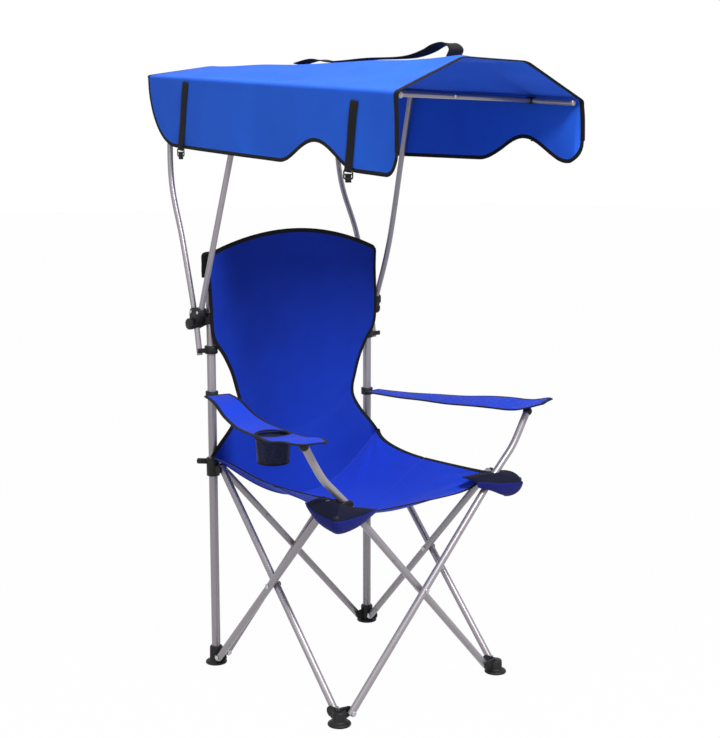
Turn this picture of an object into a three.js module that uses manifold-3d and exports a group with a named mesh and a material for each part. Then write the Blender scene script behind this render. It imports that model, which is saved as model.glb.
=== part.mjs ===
// A folding fishing chair with a sun canopy. The frame folds inwards on all four sides like a
// bundle: each side is a pair of crossed tubes, pinned to feet below and to seat hubs above.
// Millimetres, +Z up, origin on the floor under the middle of the seat. The sitter faces -Y, so
// the sitter's right side is at -X.
import * as THREE from "three";
import { mergeVertices } from "three/addons/utils/BufferGeometryUtils.js";
import Module from "manifold-3d";

// Folding frame, set out between the four corner axes
const CORNER_SPACING = 460;
const HALF = CORNER_SPACING / 2;
const PIN_INSET = 26;
const FOOT_PIN_HEIGHT = 22;
const SEAT_PIN_HEIGHT = 467;
const CROSS_TUBE_RADIUS = 8;
const CROSS_TUBE_WALL = 1.2;
const CROSS_TUBE_OVERRUN = 6.5;
const TUBE_CLEARANCE = 0.3;
const SEAT_GAP = 0.4;

// Uprights behind the back panel, and their end plugs
const UPRIGHT_RADIUS = 10;
const UPRIGHT_WALL = 1.2;
const UPRIGHT_TOP = 942;
const UPRIGHT_FLOOR = 5;
const PLUG_DEPTH = 14;
const PLUG_HEAD = 7;
const PLUG_LIP = 1;

// Pins and rivets
const PIN_RADIUS = 3;
const PIN_CLEARANCE = 0.3;
const PIN_HEAD_RADIUS = 6;
const PIN_HEAD_THICKNESS = 2.2;

// Arm posts: the front tubes run on past their hubs, out and up to the armrests
const POST_FOOT_OUT = 30;
const POST_FOOT_RISE = 29;
const POST_KNEE_OUT = 62;
const POST_KNEE_RISE = 62;
const POST_OUT = 108;
const POST_RISE = 136;

// Feet
const FOOT_RADIUS = 25;
const FOOT_BASE_HEIGHT = 7;
const FOOT_BEVEL = 2;
const FOOT_POST_RADIUS = 14.8;
const FOOT_POST_HEIGHT = 30;
const FOOT_SOCKET_HEIGHT = 41;
const FOOT_EAR_RADIUS = 11;
const FOOT_EAR_TOP = 35;
const FOOT_EAR_BOTTOM = 3;

// Seat hubs in front and sliders on the uprights behind
const EAR_THICKNESS = 5;
const HUB_EAR_RADIUS = 9;
const HUB_EAR_DROP = 14;
const HUB_EAR_RISE = 5;
const HUB_POST_RADIUS = 11;
const HUB_POST_DROP = 18;
const HUB_POST_RISE = 2;
const HUB_HORN_RADIUS = 6;
const HUB_HORN_REACH = 52.2;
const HUB_HORN_DROP = 13;
const SLIDER_RADIUS = 15;
const SLIDER_CLEARANCE = 0.6;
const SLIDER_DROP = 18;
const SLIDER_RISE = 24;
const SLIDER_HORN_RADIUS = 6.5;
const SLIDER_HORN_REACH = 38;
const SLIDER_HORN_RISE = 15;

// Fabric pockets that wrap the front hubs
const POCKET_THICKNESS = 2.5;
const POCKET_TOP_RISE = 9;
const POCKET_TOP_DIP = 18;
const POCKET_END_DROP = 20;
const POCKET_BOWL_DEPTH = 20;
const POCKET_BOWL_SHARE = 0.5;
const POCKET_REACH = 52;
const POCKET_STANDOFF = 24;
const POCKET_OUTLINE_SHARES = [
  [-0.385, 1],
  [-0.538, 0.5],
  [-0.769, -0.115],
  [-0.865, -0.692],
  [-0.692, -0.865],
  [-0.115, -0.769],
  [0.5, -0.538],
  [1, -0.385],
];

// Seat and back panel
const FABRIC_THICKNESS = 3;
const CREASE_INSET = 23;
const CREASE_Y = HALF - CREASE_INSET;
const CREASE_BOW = 19;
const CREASE_RISE = 34;
const CREASE_SAG = 120;
const SEAT_FRONT_INSET = 23;
const SEAT_FRONT_Y = HALF - SEAT_FRONT_INSET;
const SEAT_FRONT_BOW = 4;
const SEAT_MIDDLE_DROP = 1;
const SEAT_MIDDLE_SAG = 85;
const SEAT_FRONT_RISE = 5;
const SEAT_FRONT_SAG = 36;
const SEAT_REAR_OVERHANG = 20;
const SEAT_MIDDLE_INSET = 10;
const SEAT_FRONT_SIDE_INSET = 30;
const SEAT_REAR_HALF = HALF + SEAT_REAR_OVERHANG;
const SEAT_MIDDLE_HALF = HALF - SEAT_MIDDLE_INSET;
const SEAT_FRONT_HALF = HALF - SEAT_FRONT_SIDE_INSET;
const SEAT_SPLIT_GAP = 0.5;
const CREASE_GAP = 1.2;
const BACK_TOP_OVERHANG = 16;
const BACK_TOP_HALF = HALF + BACK_TOP_OVERHANG;
const BACK_TOP_Z = 955;
const BACK_ARCH = 51;
const BACK_BULGE = 24;
const BACK_INSET = 20;
const BACK_SLEEVE_INSET = 14.6;
const BACK_Y = HALF - BACK_INSET;
const BACK_SLEEVE_Y = HALF - BACK_SLEEVE_INSET;
const BACK_STEP_SHARE = 0.865;
const BACK_STEP_LENGTH_SHARE = 0.08;
const BACK_HALF_SHARES = [1.016, 0.93, 0.8, 0.705, 0.69, 0.722, 0.775, 0.86, 0.95, 0.985, 0.992, 1.0];
const BACK_HEIGHT_SHARES = [0, 0.055, 0.13, 0.206, 0.265, 0.33, 0.417, 0.505, 0.573, 0.645, 0.815, 1.0];
const SLEEVE_CLEARANCE = 1;
const SLEEVE_WALL = 1.6;
const SLEEVE_DROP = 44;

// Armrests: a strip of fabric from the loop on the upright to the top of the arm post. Their heights
// along the way are set out from the height over the post; the loops stand where the cloth pulls them.
const ARMREST_THICKNESS = 3;
const ARMREST_REAR_INSET = 19;
const ARMREST_REAR_Y = HALF - ARMREST_REAR_INSET;
const ARMREST_FRONT_OVERHANG = 52;
const ARMREST_HALF_WIDTH = 43;
const ARMREST_WIDTH_SHARES = [0.66, 0.7, 0.84, 0.98, 1.0, 0.98, 0.86, 0.5];
const ARMREST_LENGTH_SHARES = [0, 0.1, 0.3, 0.5, 0.68, 0.84, 0.95, 1.0];
const ARMREST_RIGHT_RISES = [25, 19, 0, -10, -12, -12, -10, 0, 2];
const ARMREST_LEFT_RISES = [-15, -14, -13, -10, -7, -3, 0, 3, 16];
const ARMREST_LEFT_LEAN = 8;
const ARM_CAP_RADIUS = 10.5;
const ARM_CAP_DROP = 2;
const ARM_CAP_DEPTH = 9;
const LOOP_RADIUS = 14.5;
const LOOP_HEIGHT = 17;
const LOOP_TAB_HALF = 9;
const LOOP_TAB_REACH = 22;
const LOOP_TAB_THICKNESS = 4.5;
const LOOP_SEAT_GAP = 0.3;

// Cup holder that hangs from the right armrest
const CUP_RADIUS = 38;
const CUP_TAPER = 4;
const CUP_WALL = 2;
const CUP_DEPTH = 60;
const CUP_BEHIND_POST = 143;
const CUP_SEAT_GAP = 1;

// Canopy clamps on the uprights
const CLAMP_RADIUS = 15;
const CLAMP_CLEARANCE = 0.3;
const CLAMP_MIDDLE_Z = 812;
const CLAMP_HEIGHT = 26;
const CLAMP_EAR_THICKNESS = 6;
const CLAMP_EAR_RADIUS = 10;
const PIVOT_SETBACK = 18;
const PIVOT_DROP = 12;
const PIVOT_Y = HALF + PIVOT_SETBACK;
const PIVOT_Z = CLAMP_MIDDLE_Z - PIVOT_DROP;
const PIVOT_PIN_RADIUS = 3.5;
const STRUT_OFFSET = 27;
const STOP_DROP = 72;
const STOP_Z = CLAMP_MIDDLE_Z - STOP_DROP;
const STOP_CLAMP_HEIGHT = 18;
const STOP_THICKNESS = 5.5;
const STOP_HALF_HEIGHT = 5;
const STOP_REACH = 11;

// Canopy struts, the block that carries them, and the knob
const STRUT_RADIUS = 6.5;
const STRUT_WALL = 1;
const STRUT_STRAIGHT = 150;
const BLOCK_HALF_THICKNESS = 10;
const BLOCK_MARGIN = 12;
const KNOB_RADIUS = 13;
const KNOB_THICKNESS = 12;
const KNOB_BORE_DEPTH = 8;
const KNOB_LOBES = 6;
const KNOB_LOBE_DEPTH = 1.6;
const TAIL_SETBACK = 5.5;
const TAIL_DROP = 11;
const TAIL_Y = HALF + TAIL_SETBACK;
const TAIL_Z = STOP_Z - TAIL_DROP;
const REAR_STRUT_LOW_Y = 301;
const REAR_STRUT_LOW_Z = 984;
const REAR_STRUT_HIGH_Y = 355;
const REAR_STRUT_HIGH_Z = 1120;
const REAR_STRUT_TOP_Y = 369;
const FRONT_STRUT_FOOT_Y = 232;
const FRONT_STRUT_FOOT_Z = 816;
const FRONT_STRUT_LOW_Y = 182;
const FRONT_STRUT_LOW_Z = 954;
const FRONT_STRUT_HIGH_Y = 121;
const FRONT_STRUT_HIGH_Z = 1166;
const FRONT_STRUT_TOP_Y = 78;

// Canopy: the fabric and its side rails
const CANOPY_OVERHANG = 25;
const CANOPY_HALF_WIDTH = HALF + CANOPY_OVERHANG;
const CANOPY_FRONT_Y = -432;
const CANOPY_REAR_Y = 433;
const EAVE_FRONT_Z = 1283;
const EAVE_REAR_Z = 1357;
const RIDGE_HALF_WIDTH = 86;
const RIDGE_FRONT_RISE = 71;
const RIDGE_REAR_RISE = 28;
const CANOPY_THICKNESS = 2.5;
const HEM_RIGHT_Z = 1165;
const HEM_LEFT_Z = 1171;
const HEM_RIGHT_SLOPE_SHARE = 0.086;
const HEM_LEFT_SLOPE_SHARE = 0.035;
const SCALLOP_RIGHT_Y = -190;
const SCALLOP_LEFT_Y = -266;
const SCALLOP_HALF = 128;
const SCALLOP_RISE = 49;
const HEM_FRONT_CORNER_LENGTH = 34;
const HEM_FRONT_CORNER_HEIGHT = 50;
const HEM_REAR_CORNER_LENGTH = 110;
const HEM_REAR_CORNER_HEIGHT = 150;
const RAIL_RADIUS = 6;
const RAIL_WALL = 1;
const RAIL_OVERHANG = 6;
const RAIL_HALF_SPACING = HALF + RAIL_OVERHANG;
const RAIL_DROP = 6.3;
const RAIL_END_INSET = 10;
const STRUT_COPE = 2;

// Bars across the canopy, each in two halves that turn on the rails and lap at the middle
const BAR_RADIUS = 5;
const BAR_WALL = 1;
const BAR_FRONT_Y = -308;
const BAR_REAR_Y = 295;
const BAR_LAP_OFFSET = 5.4;
const BAR_OVERLAP = 12;
const BAR_SLEEVE_RADIUS = 7.6;
const BAR_SLEEVE_LENGTH = 20;
const BAR_CLEARANCE = 0.4;

// Webbing on the canopy: four tie straps on the valances and the folded carry strap on top
const TIE_WIDTH = 22;
const TIE_THICKNESS = 2;
const TIE_REAR_Y = 294;
const TIE_FRONT_Y = -290;
const TIE_REAR_TOP = 1334;
const TIE_FRONT_TOP = 1272;
const TIE_TAIL = 26;
const CARRY_WIDTH = 38;
const CARRY_THICKNESS = 3;
const CARRY_X = -46;
const CARRY_SPAN = 500;
const CARRY_REAR_Y = 150;
const CARRY_LOOP_RISE = 48;
const CARRY_LENGTH_SHARES = [0, 0.12, 0.24, 0.5, 0.74, 0.84, 0.9, 0.965, 1.0, 0.985];
const CARRY_RISE_SHARES = [0.006, 0.27, 0.04, 0.16, 0.2, 0.55, 0.92, 1.0, 0.55, 0.006];

// Facets
const TUBE_SIDES = 12;
const ROUND_SIDES = 16;
const PIN_SIDES = 8;
const POST_STEPS = 18;
const STRUT_STEPS = 14;
const MERGE_TOLERANCE = 1e-4;

const QUARTER_TURN = Math.PI / 2;
const CORNER_NAMES = ["front_right", "front_left", "rear_left", "rear_right"];
const SIDE_NAMES = ["front", "left", "back", "right"];
const TUBE_OFFSET = CROSS_TUBE_RADIUS + TUBE_CLEARANCE;
const CROSSING_HEIGHT = (FOOT_PIN_HEIGHT + SEAT_PIN_HEIGHT) / 2;

const wasm = await Module();
wasm.setup();

const chair = new THREE.Group();
chair.name = "folding_fishing_chair";

const steel = new THREE.MeshStandardMaterial({ color: 0x8d8a90, roughness: 0.38, metalness: 0.85 });
const plastic = new THREE.MeshStandardMaterial({ color: 0x17171a, roughness: 0.55, metalness: 0 });
const zinc = new THREE.MeshStandardMaterial({ color: 0xb4b4b8, roughness: 0.35, metalness: 1 });
const blueCloth = new THREE.MeshStandardMaterial({ color: 0x1b3fc4, roughness: 0.85, metalness: 0 });
const canopyCloth = new THREE.MeshStandardMaterial({ color: 0x2f6be8, roughness: 0.8, metalness: 0 });
const webbing = new THREE.MeshStandardMaterial({ color: 0x141416, roughness: 0.9, metalness: 0 });
const mesh = new THREE.MeshStandardMaterial({ color: 0x1c2030, roughness: 0.9, metalness: 0 });

// Solid helpers

function vec(x, y, z) {
  return new THREE.Vector3(x, y, z);
}

function welded(geometry) {
  const bare = geometry.clone();
  bare.deleteAttribute("normal");
  bare.deleteAttribute("uv");
  return mergeVertices(bare, MERGE_TOLERANCE);
}

function toSolid(geometry) {
  const merged = welded(geometry);
  return new wasm.Manifold(
    new wasm.Mesh({
      numProp: 3,
      vertProperties: merged.attributes.position.array,
      triVerts: new Uint32Array(merged.index.array),
    }),
  );
}

function fromSolid(solid) {
  const { vertProperties, triVerts } = solid.getMesh();
  const geometry = new THREE.BufferGeometry();
  geometry.setAttribute("position", new THREE.BufferAttribute(new Float32Array(vertProperties), 3));
  geometry.setIndex(Array.from(triVerts));
  geometry.computeVertexNormals();
  return geometry;
}

function join(...pieces) {
  return fromSolid(pieces.map(toSolid).reduce((whole, next) => whole.add(next)));
}

function cut(geometry, ...tools) {
  return fromSolid(tools.map(toSolid).reduce((rest, tool) => rest.subtract(tool), toSolid(geometry)));
}

// A shape that is drawn along +Z is turned to run from one point to another.
function aim(geometry, from, to) {
  const direction = to.clone().sub(from).normalize();
  const turn = new THREE.Quaternion().setFromUnitVectors(vec(0, 0, 1), direction);
  return geometry.applyQuaternion(turn).translate(from.x, from.y, from.z);
}

function circle(radius) {
  return new THREE.Shape().absarc(0, 0, radius, 0, 2 * Math.PI, false);
}

function ringShape(outer, inner) {
  const shape = circle(outer);
  shape.holes.push(new THREE.Path().absarc(0, 0, inner, 0, 2 * Math.PI, true));
  return shape;
}

function extrude(shape, depth, sides) {
  return new THREE.ExtrudeGeometry(shape, { depth, bevelEnabled: false, curveSegments: sides / 2 });
}

function rod(from, to, radius, sides = ROUND_SIDES) {
  return aim(extrude(circle(radius), from.distanceTo(to), sides), from, to);
}

function pipe(from, to, outer, inner, sides = TUBE_SIDES) {
  return aim(extrude(ringShape(outer, inner), from.distanceTo(to), sides), from, to);
}

function bentPipe(curve, outer, inner, steps) {
  return new THREE.ExtrudeGeometry(ringShape(outer, inner), {
    extrudePath: curve,
    steps,
    bevelEnabled: false,
    curveSegments: TUBE_SIDES / 2,
  });
}

// A turned shape about +Z from [radius, height] pairs, listed from the bottom of the axis upwards.
function turned(profile, sides = ROUND_SIDES) {
  const points = profile.map(([radius, height]) => new THREE.Vector2(radius, height));
  return new THREE.LatheGeometry(points, sides).rotateX(QUARTER_TURN);
}

function box(low, high) {
  const size = high.clone().sub(low);
  const middle = high.clone().add(low).multiplyScalar(0.5);
  return new THREE.BoxGeometry(size.x, size.y, size.z).translate(middle.x, middle.y, middle.z);
}

// A cloth of even thickness: surface(u, v) is its face, and the other face lies behind it.
function cloth(surface, columns, rows, thickness) {
  const faceGrid = new THREE.BufferGeometry();
  const across = columns.length;
  const points = rows.flatMap((v) => columns.map((u) => surface(u, v)));
  const quads = [];
  for (let j = 0; j + 1 < rows.length; j += 1) {
    for (let i = 0; i + 1 < across; i += 1) {
      const a = j * across + i;
      quads.push(a, a + 1, a + across + 1, a, a + across + 1, a + across);
    }
  }
  faceGrid.setAttribute("position", new THREE.Float32BufferAttribute(points.flatMap((p) => p.toArray()), 3));
  faceGrid.setIndex(quads);
  faceGrid.computeVertexNormals();
  const normals = faceGrid.attributes.normal;
  const behind = points.map((p, i) =>
    p.clone().addScaledVector(vec(normals.getX(i), normals.getY(i), normals.getZ(i)), -thickness),
  );
  const count = points.length;
  const faces = [...quads];
  for (let i = 0; i < quads.length; i += 3) {
    faces.push(quads[i] + count, quads[i + 2] + count, quads[i + 1] + count);
  }
  const rim = [];
  for (let i = 0; i < across - 1; i += 1) rim.push(i);
  for (let j = 0; j < rows.length - 1; j += 1) rim.push(j * across + across - 1);
  for (let i = across - 1; i > 0; i -= 1) rim.push((rows.length - 1) * across + i);
  for (let j = rows.length - 1; j > 0; j -= 1) rim.push(j * across);
  rim.forEach((a, i) => {
    const b = rim[(i + 1) % rim.length];
    faces.push(a, b + count, b, a, a + count, b + count);
  });
  const geometry = new THREE.BufferGeometry();
  const all = [...points, ...behind].flatMap((p) => p.toArray());
  geometry.setAttribute("position", new THREE.Float32BufferAttribute(all, 3));
  geometry.setIndex(faces);
  geometry.computeVertexNormals();
  return geometry;
}

function evenly(count, low, high) {
  return Array.from({ length: count + 1 }, (_, i) => low + ((high - low) * i) / count);
}

function place(group, name, geometry, material) {
  const piece = new THREE.Mesh(geometry, material);
  piece.name = name;
  group.add(piece);
  return piece;
}

// Corner frames: at each corner +X runs along the side that starts there, and +Y along the side
// that ends there, so all four corners are made alike and turned by quarter turns.

function cornerFrame(index) {
  const group = new THREE.Group();
  const signs = [[-1, -1], [1, -1], [1, 1], [-1, 1]][index];
  group.position.set(signs[0] * HALF, signs[1] * HALF, 0);
  group.rotation.z = index * QUARTER_TURN;
  chair.add(group);
  return group;
}

const corners = CORNER_NAMES.map((_, index) => cornerFrame(index));

// A pin with a head: it starts in the middle of an ear and runs through one tube.
function headedPin(from, direction) {
  const shaft = EAR_THICKNESS / 2 + 2 * CROSS_TUBE_RADIUS + 2 * TUBE_CLEARANCE;
  const profile = [
    [0, 0],
    [PIN_RADIUS, 0],
    [PIN_RADIUS, shaft],
    [PIN_HEAD_RADIUS, shaft],
    [PIN_HEAD_RADIUS, shaft + PIN_HEAD_THICKNESS],
    [0, shaft + PIN_HEAD_THICKNESS],
  ];
  return aim(turned(profile, PIN_SIDES), from, from.clone().add(direction));
}

// An ear in the XZ plane, from the corner axis to a round end about its pin, at y from -thickness to 0.
function earPlate(pinHeight, radius, bottom, top) {
  const shape = new THREE.Shape();
  shape.moveTo(0, bottom);
  shape.lineTo(PIN_INSET, pinHeight - radius);
  shape.absarc(PIN_INSET, pinHeight, radius, -QUARTER_TURN, QUARTER_TURN, false);
  shape.lineTo(0, top);
  return extrude(shape, EAR_THICKNESS, PIN_SIDES).rotateX(QUARTER_TURN);
}

function footSolid(isRear) {
  const ear = earPlate(FOOT_PIN_HEIGHT, FOOT_EAR_RADIUS, FOOT_EAR_BOTTOM, FOOT_EAR_TOP);
  const base = turned([
    [0, 0],
    [FOOT_RADIUS - FOOT_BEVEL, 0],
    [FOOT_RADIUS, FOOT_BEVEL],
    [FOOT_RADIUS - FOOT_BEVEL, FOOT_BASE_HEIGHT],
    [0, FOOT_BASE_HEIGHT],
  ]);
  const postTop = isRear ? FOOT_SOCKET_HEIGHT : FOOT_POST_HEIGHT;
  const post = rod(vec(0, 0, FOOT_BEVEL), vec(0, 0, postTop), FOOT_POST_RADIUS);
  const earAlongX = ear.clone().translate(0, EAR_THICKNESS, 0);
  const earAlongY = ear.clone().rotateZ(QUARTER_TURN).translate(-EAR_THICKNESS, 0, 0);
  const pinAlongX = headedPin(vec(PIN_INSET, EAR_THICKNESS / 2, FOOT_PIN_HEIGHT), vec(0, -1, 0));
  const pinAlongY = headedPin(vec(-EAR_THICKNESS / 2, PIN_INSET, FOOT_PIN_HEIGHT), vec(1, 0, 0));
  const foot = join(base, post, earAlongX, earAlongY, pinAlongX, pinAlongY);
  if (!isRear) return foot;
  const bore = UPRIGHT_RADIUS + TUBE_CLEARANCE;
  const aboveSocket = FOOT_SOCKET_HEIGHT + FOOT_BASE_HEIGHT;
  return cut(foot, rod(vec(0, 0, UPRIGHT_FLOOR), vec(0, 0, aboveSocket), bore));
}

function hubEars() {
  const ear = earPlate(
    SEAT_PIN_HEIGHT,
    HUB_EAR_RADIUS,
    SEAT_PIN_HEIGHT - HUB_EAR_DROP,
    SEAT_PIN_HEIGHT + HUB_EAR_RISE,
  );
  const pinAlongX = headedPin(vec(PIN_INSET, -EAR_THICKNESS / 2, SEAT_PIN_HEIGHT), vec(0, 1, 0));
  const pinAlongY = headedPin(vec(EAR_THICKNESS / 2, PIN_INSET, SEAT_PIN_HEIGHT), vec(-1, 0, 0));
  return [ear, ear.clone().rotateZ(QUARTER_TURN), pinAlongX, pinAlongY];
}

// A round horn that points away from the middle of the chair.
function horn(height, reach, radius) {
  const out = reach * Math.SQRT1_2;
  return rod(vec(0, 0, height), vec(-out, -out, height), radius, TUBE_SIDES);
}

function frontHubSolid() {
  const low = vec(0, 0, SEAT_PIN_HEIGHT - HUB_POST_DROP);
  const high = vec(0, 0, SEAT_PIN_HEIGHT + HUB_POST_RISE);
  const post = rod(low, high, HUB_POST_RADIUS);
  return join(post, horn(SEAT_PIN_HEIGHT - HUB_HORN_DROP, HUB_HORN_REACH, HUB_HORN_RADIUS), ...hubEars());
}

function rearSliderSolid() {
  const low = vec(0, 0, SEAT_PIN_HEIGHT - SLIDER_DROP);
  const high = vec(0, 0, SEAT_PIN_HEIGHT + SLIDER_RISE);
  const body = rod(low, high, SLIDER_RADIUS);
  const hornSolid = horn(SEAT_PIN_HEIGHT + SLIDER_HORN_RISE, SLIDER_HORN_REACH, SLIDER_HORN_RADIUS);
  const whole = join(body, hornSolid, ...hubEars());
  const past = vec(0, 0, EAR_THICKNESS);
  return cut(whole, rod(low.sub(past), high.add(past), UPRIGHT_RADIUS + SLIDER_CLEARANCE));
}

// The pocket runs round the outside of a front hub, deepest on the corner like a small bowl.
function hubPocketSolid() {
  const outline = new THREE.SplineCurve(
    POCKET_OUTLINE_SHARES.map(([x, y]) => new THREE.Vector2(x * POCKET_REACH, y * POCKET_REACH)),
  );
  const surface = (u, v) => {
    const at = outline.getPoint(u);
    const deep = Math.sin(Math.PI * u) ** 2;
    const inward = 1 - POCKET_BOWL_SHARE * deep * (1 - v) ** 2;
    const rim = POCKET_TOP_RISE - POCKET_TOP_DIP * deep;
    const drop = POCKET_END_DROP + POCKET_BOWL_DEPTH * deep;
    const height = SEAT_PIN_HEIGHT + rim * v - drop * (1 - v);
    return vec(at.x * inward, at.y * inward, height);
  };
  return cloth(surface, evenly(14, 0, 1), evenly(4, 0, 1), POCKET_THICKNESS);
}

corners.forEach((corner, index) => {
  const name = CORNER_NAMES[index];
  const isRear = index >= 2;
  place(corner, `foot_${name}`, footSolid(isRear), plastic);
  if (isRear) {
    const side = name.replace("rear_", "");
    const low = vec(0, 0, UPRIGHT_FLOOR + TUBE_CLEARANCE);
    const high = vec(0, 0, UPRIGHT_TOP);
    place(corner, `upright_${side}`, pipe(low, high, UPRIGHT_RADIUS, UPRIGHT_RADIUS - UPRIGHT_WALL), steel);
    place(corner, `upright_plug_${side}`, uprightPlugSolid(), plastic);
    place(corner, `slider_${name}`, rearSliderSolid(), plastic);
  } else {
    place(corner, `hub_${name}`, frontHubSolid(), plastic);
    place(corner, `hub_pocket_${name}`, hubPocketSolid(), blueCloth);
  }
});

function uprightPlugSolid() {
  const seat = UPRIGHT_TOP + TUBE_CLEARANCE;
  const plugRadius = UPRIGHT_RADIUS - UPRIGHT_WALL - TUBE_CLEARANCE;
  return turned([
    [0, UPRIGHT_TOP - PLUG_DEPTH],
    [plugRadius, UPRIGHT_TOP - PLUG_DEPTH],
    [plugRadius, seat],
    [UPRIGHT_RADIUS + PLUG_LIP, seat],
    [UPRIGHT_RADIUS + PLUG_LIP, seat + PLUG_HEAD / 2],
    [UPRIGHT_RADIUS / 2, seat + PLUG_HEAD],
    [0, seat + PLUG_HEAD],
  ]);
}

// Crossed tubes: the outer one rises from the side's first corner, the inner one from its second.

function crossHoles(y) {
  const places = [
    [PIN_INSET, FOOT_PIN_HEIGHT],
    [PIN_INSET, SEAT_PIN_HEIGHT],
    [HALF, CROSSING_HEIGHT],
    [CORNER_SPACING - PIN_INSET, FOOT_PIN_HEIGHT],
    [CORNER_SPACING - PIN_INSET, SEAT_PIN_HEIGHT],
  ];
  const reach = 2 * CROSS_TUBE_RADIUS;
  return places.map(([x, z]) =>
    rod(vec(x, y - reach, z), vec(x, y + reach, z), PIN_RADIUS + PIN_CLEARANCE, PIN_SIDES),
  );
}

// The foot end, the pins and, on the front side, the arm post of one tube, in its side's frame.
function crossTubeSolid(isOuter, hasPost) {
  const y = isOuter ? -TUBE_OFFSET : TUBE_OFFSET;
  const footX = isOuter ? PIN_INSET : CORNER_SPACING - PIN_INSET;
  const topX = isOuter ? CORNER_SPACING - PIN_INSET : PIN_INSET;
  const footPin = vec(footX, y, FOOT_PIN_HEIGHT);
  const topPin = vec(topX, y, SEAT_PIN_HEIGHT);
  const along = topPin.clone().sub(footPin).normalize();
  const start = footPin.clone().addScaledVector(along, -CROSS_TUBE_OVERRUN);
  const inner = CROSS_TUBE_RADIUS - CROSS_TUBE_WALL;
  if (!hasPost) {
    const end = topPin.clone().addScaledVector(along, CROSS_TUBE_OVERRUN);
    return cut(pipe(start, end, CROSS_TUBE_RADIUS, inner), ...crossHoles(y));
  }
  const out = isOuter ? 1 : -1;
  const post = (across, rise) => vec(topX + out * across, y, SEAT_PIN_HEIGHT + rise);
  const path = new THREE.CurvePath();
  path.add(new THREE.LineCurve3(start, topPin));
  path.add(
    new THREE.CatmullRomCurve3(
      [topPin, post(POST_FOOT_OUT, POST_FOOT_RISE), post(POST_KNEE_OUT, POST_KNEE_RISE), post(POST_OUT, POST_RISE)],
      false,
      "centripetal",
    ),
  );
  return cut(bentPipe(path, CROSS_TUBE_RADIUS, inner, POST_STEPS), ...crossHoles(y));
}

function crossRivetSolid() {
  const half = 2 * CROSS_TUBE_RADIUS + 2 * TUBE_CLEARANCE;
  const profile = [
    [0, -half - PIN_HEAD_THICKNESS],
    [PIN_HEAD_RADIUS, -half - PIN_HEAD_THICKNESS],
    [PIN_HEAD_RADIUS, -half],
    [PIN_RADIUS, -half],
    [PIN_RADIUS, half],
    [PIN_HEAD_RADIUS, half],
    [PIN_HEAD_RADIUS, half + PIN_HEAD_THICKNESS],
    [0, half + PIN_HEAD_THICKNESS],
  ];
  return turned(profile, PIN_SIDES).rotateX(QUARTER_TURN).translate(HALF, 0, CROSSING_HEIGHT);
}

corners.forEach((corner, index) => {
  const side = SIDE_NAMES[index];
  const hasPost = side === "front";
  place(corner, `${side}_outer_tube`, crossTubeSolid(true, hasPost), steel);
  place(corner, `${side}_inner_tube`, crossTubeSolid(false, hasPost), steel);
  place(corner, `${side}_crossing_rivet`, crossRivetSolid(), zinc);
});

// Armrests. Side is -1 for the sitter's right and 1 for the left.

const ARM_TOP_X = HALF - PIN_INSET + POST_OUT;
const POST_TOP_Z = SEAT_PIN_HEIGHT + POST_RISE;
const ARM_CAP_Z = POST_TOP_Z - ARM_CAP_DROP;
const ARMREST_TOP = ARM_CAP_Z + ARM_CAP_RADIUS + TUBE_CLEARANCE + ARMREST_THICKNESS;
const ARMREST_RISES = { [-1]: ARMREST_RIGHT_RISES, 1: ARMREST_LEFT_RISES };

function postTop(side) {
  return vec(side * ARM_TOP_X, -HALF - side * TUBE_OFFSET, POST_TOP_Z);
}

function armCapSolid(side) {
  const top = postTop(side);
  const ball = new THREE.SphereGeometry(ARM_CAP_RADIUS, TUBE_SIDES, PIN_SIDES).translate(top.x, top.y, ARM_CAP_Z);
  const down = vec(-side * (POST_OUT - POST_KNEE_OUT), 0, POST_KNEE_RISE - POST_RISE).normalize();
  const mouth = top.clone().addScaledVector(down, 2 * ARM_CAP_RADIUS);
  const bottom = top.clone().addScaledVector(down, -TUBE_CLEARANCE);
  return cut(ball, rod(mouth, bottom, CROSS_TUBE_RADIUS + TUBE_CLEARANCE, TUBE_SIDES));
}

function evenSpline(values) {
  const last = values.length - 1;
  return new THREE.SplineCurve(values.map((value, i) => new THREE.Vector2(i / last, value)));
}

// Height of a strip's upper face at share s along, midway across.
function armrestZ(side, s) {
  return ARMREST_TOP + evenSpline(ARMREST_RISES[side]).getPoint(s).y;
}

function armrestLine(side) {
  const rear = new THREE.Vector2(side * HALF, ARMREST_REAR_Y);
  const post = postTop(side);
  const reach = new THREE.Vector2(post.x, post.y).sub(rear);
  return { rear, reach, share: reach.length() / (reach.length() + ARMREST_FRONT_OVERHANG) };
}

function armrestSolid(side, cupCentre) {
  const { rear, reach, share } = armrestLine(side);
  const across = new THREE.Vector2(-reach.y, reach.x).normalize();
  const outline = new THREE.SplineCurve(
    ARMREST_LENGTH_SHARES.map((at, i) => new THREE.Vector2(at, ARMREST_WIDTH_SHARES[i])),
  );
  const lean = side > 0 ? ARMREST_LEFT_LEAN : 0;
  const surface = (u, v) => {
    const place = outline.getPoint(v);
    const middle = rear.clone().addScaledVector(reach, place.x / share);
    middle.addScaledVector(across, u * ARMREST_HALF_WIDTH * place.y);
    return vec(middle.x, middle.y, armrestZ(side, place.x) + lean * u * Math.sin((Math.PI * place.x) / 2) ** 2);
  };
  const strip = cloth((u, v) => surface(-u, v), evenly(6, -1, 1), evenly(20, 0, 1), ARMREST_THICKNESS);
  if (!cupCentre) return strip;
  const below = vec(cupCentre.x, cupCentre.y, ARMREST_TOP - CUP_DEPTH);
  const above = vec(cupCentre.x, cupCentre.y, ARMREST_TOP + CUP_DEPTH);
  return cut(strip, rod(below, above, CUP_RADIUS - CUP_WALL));
}

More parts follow.
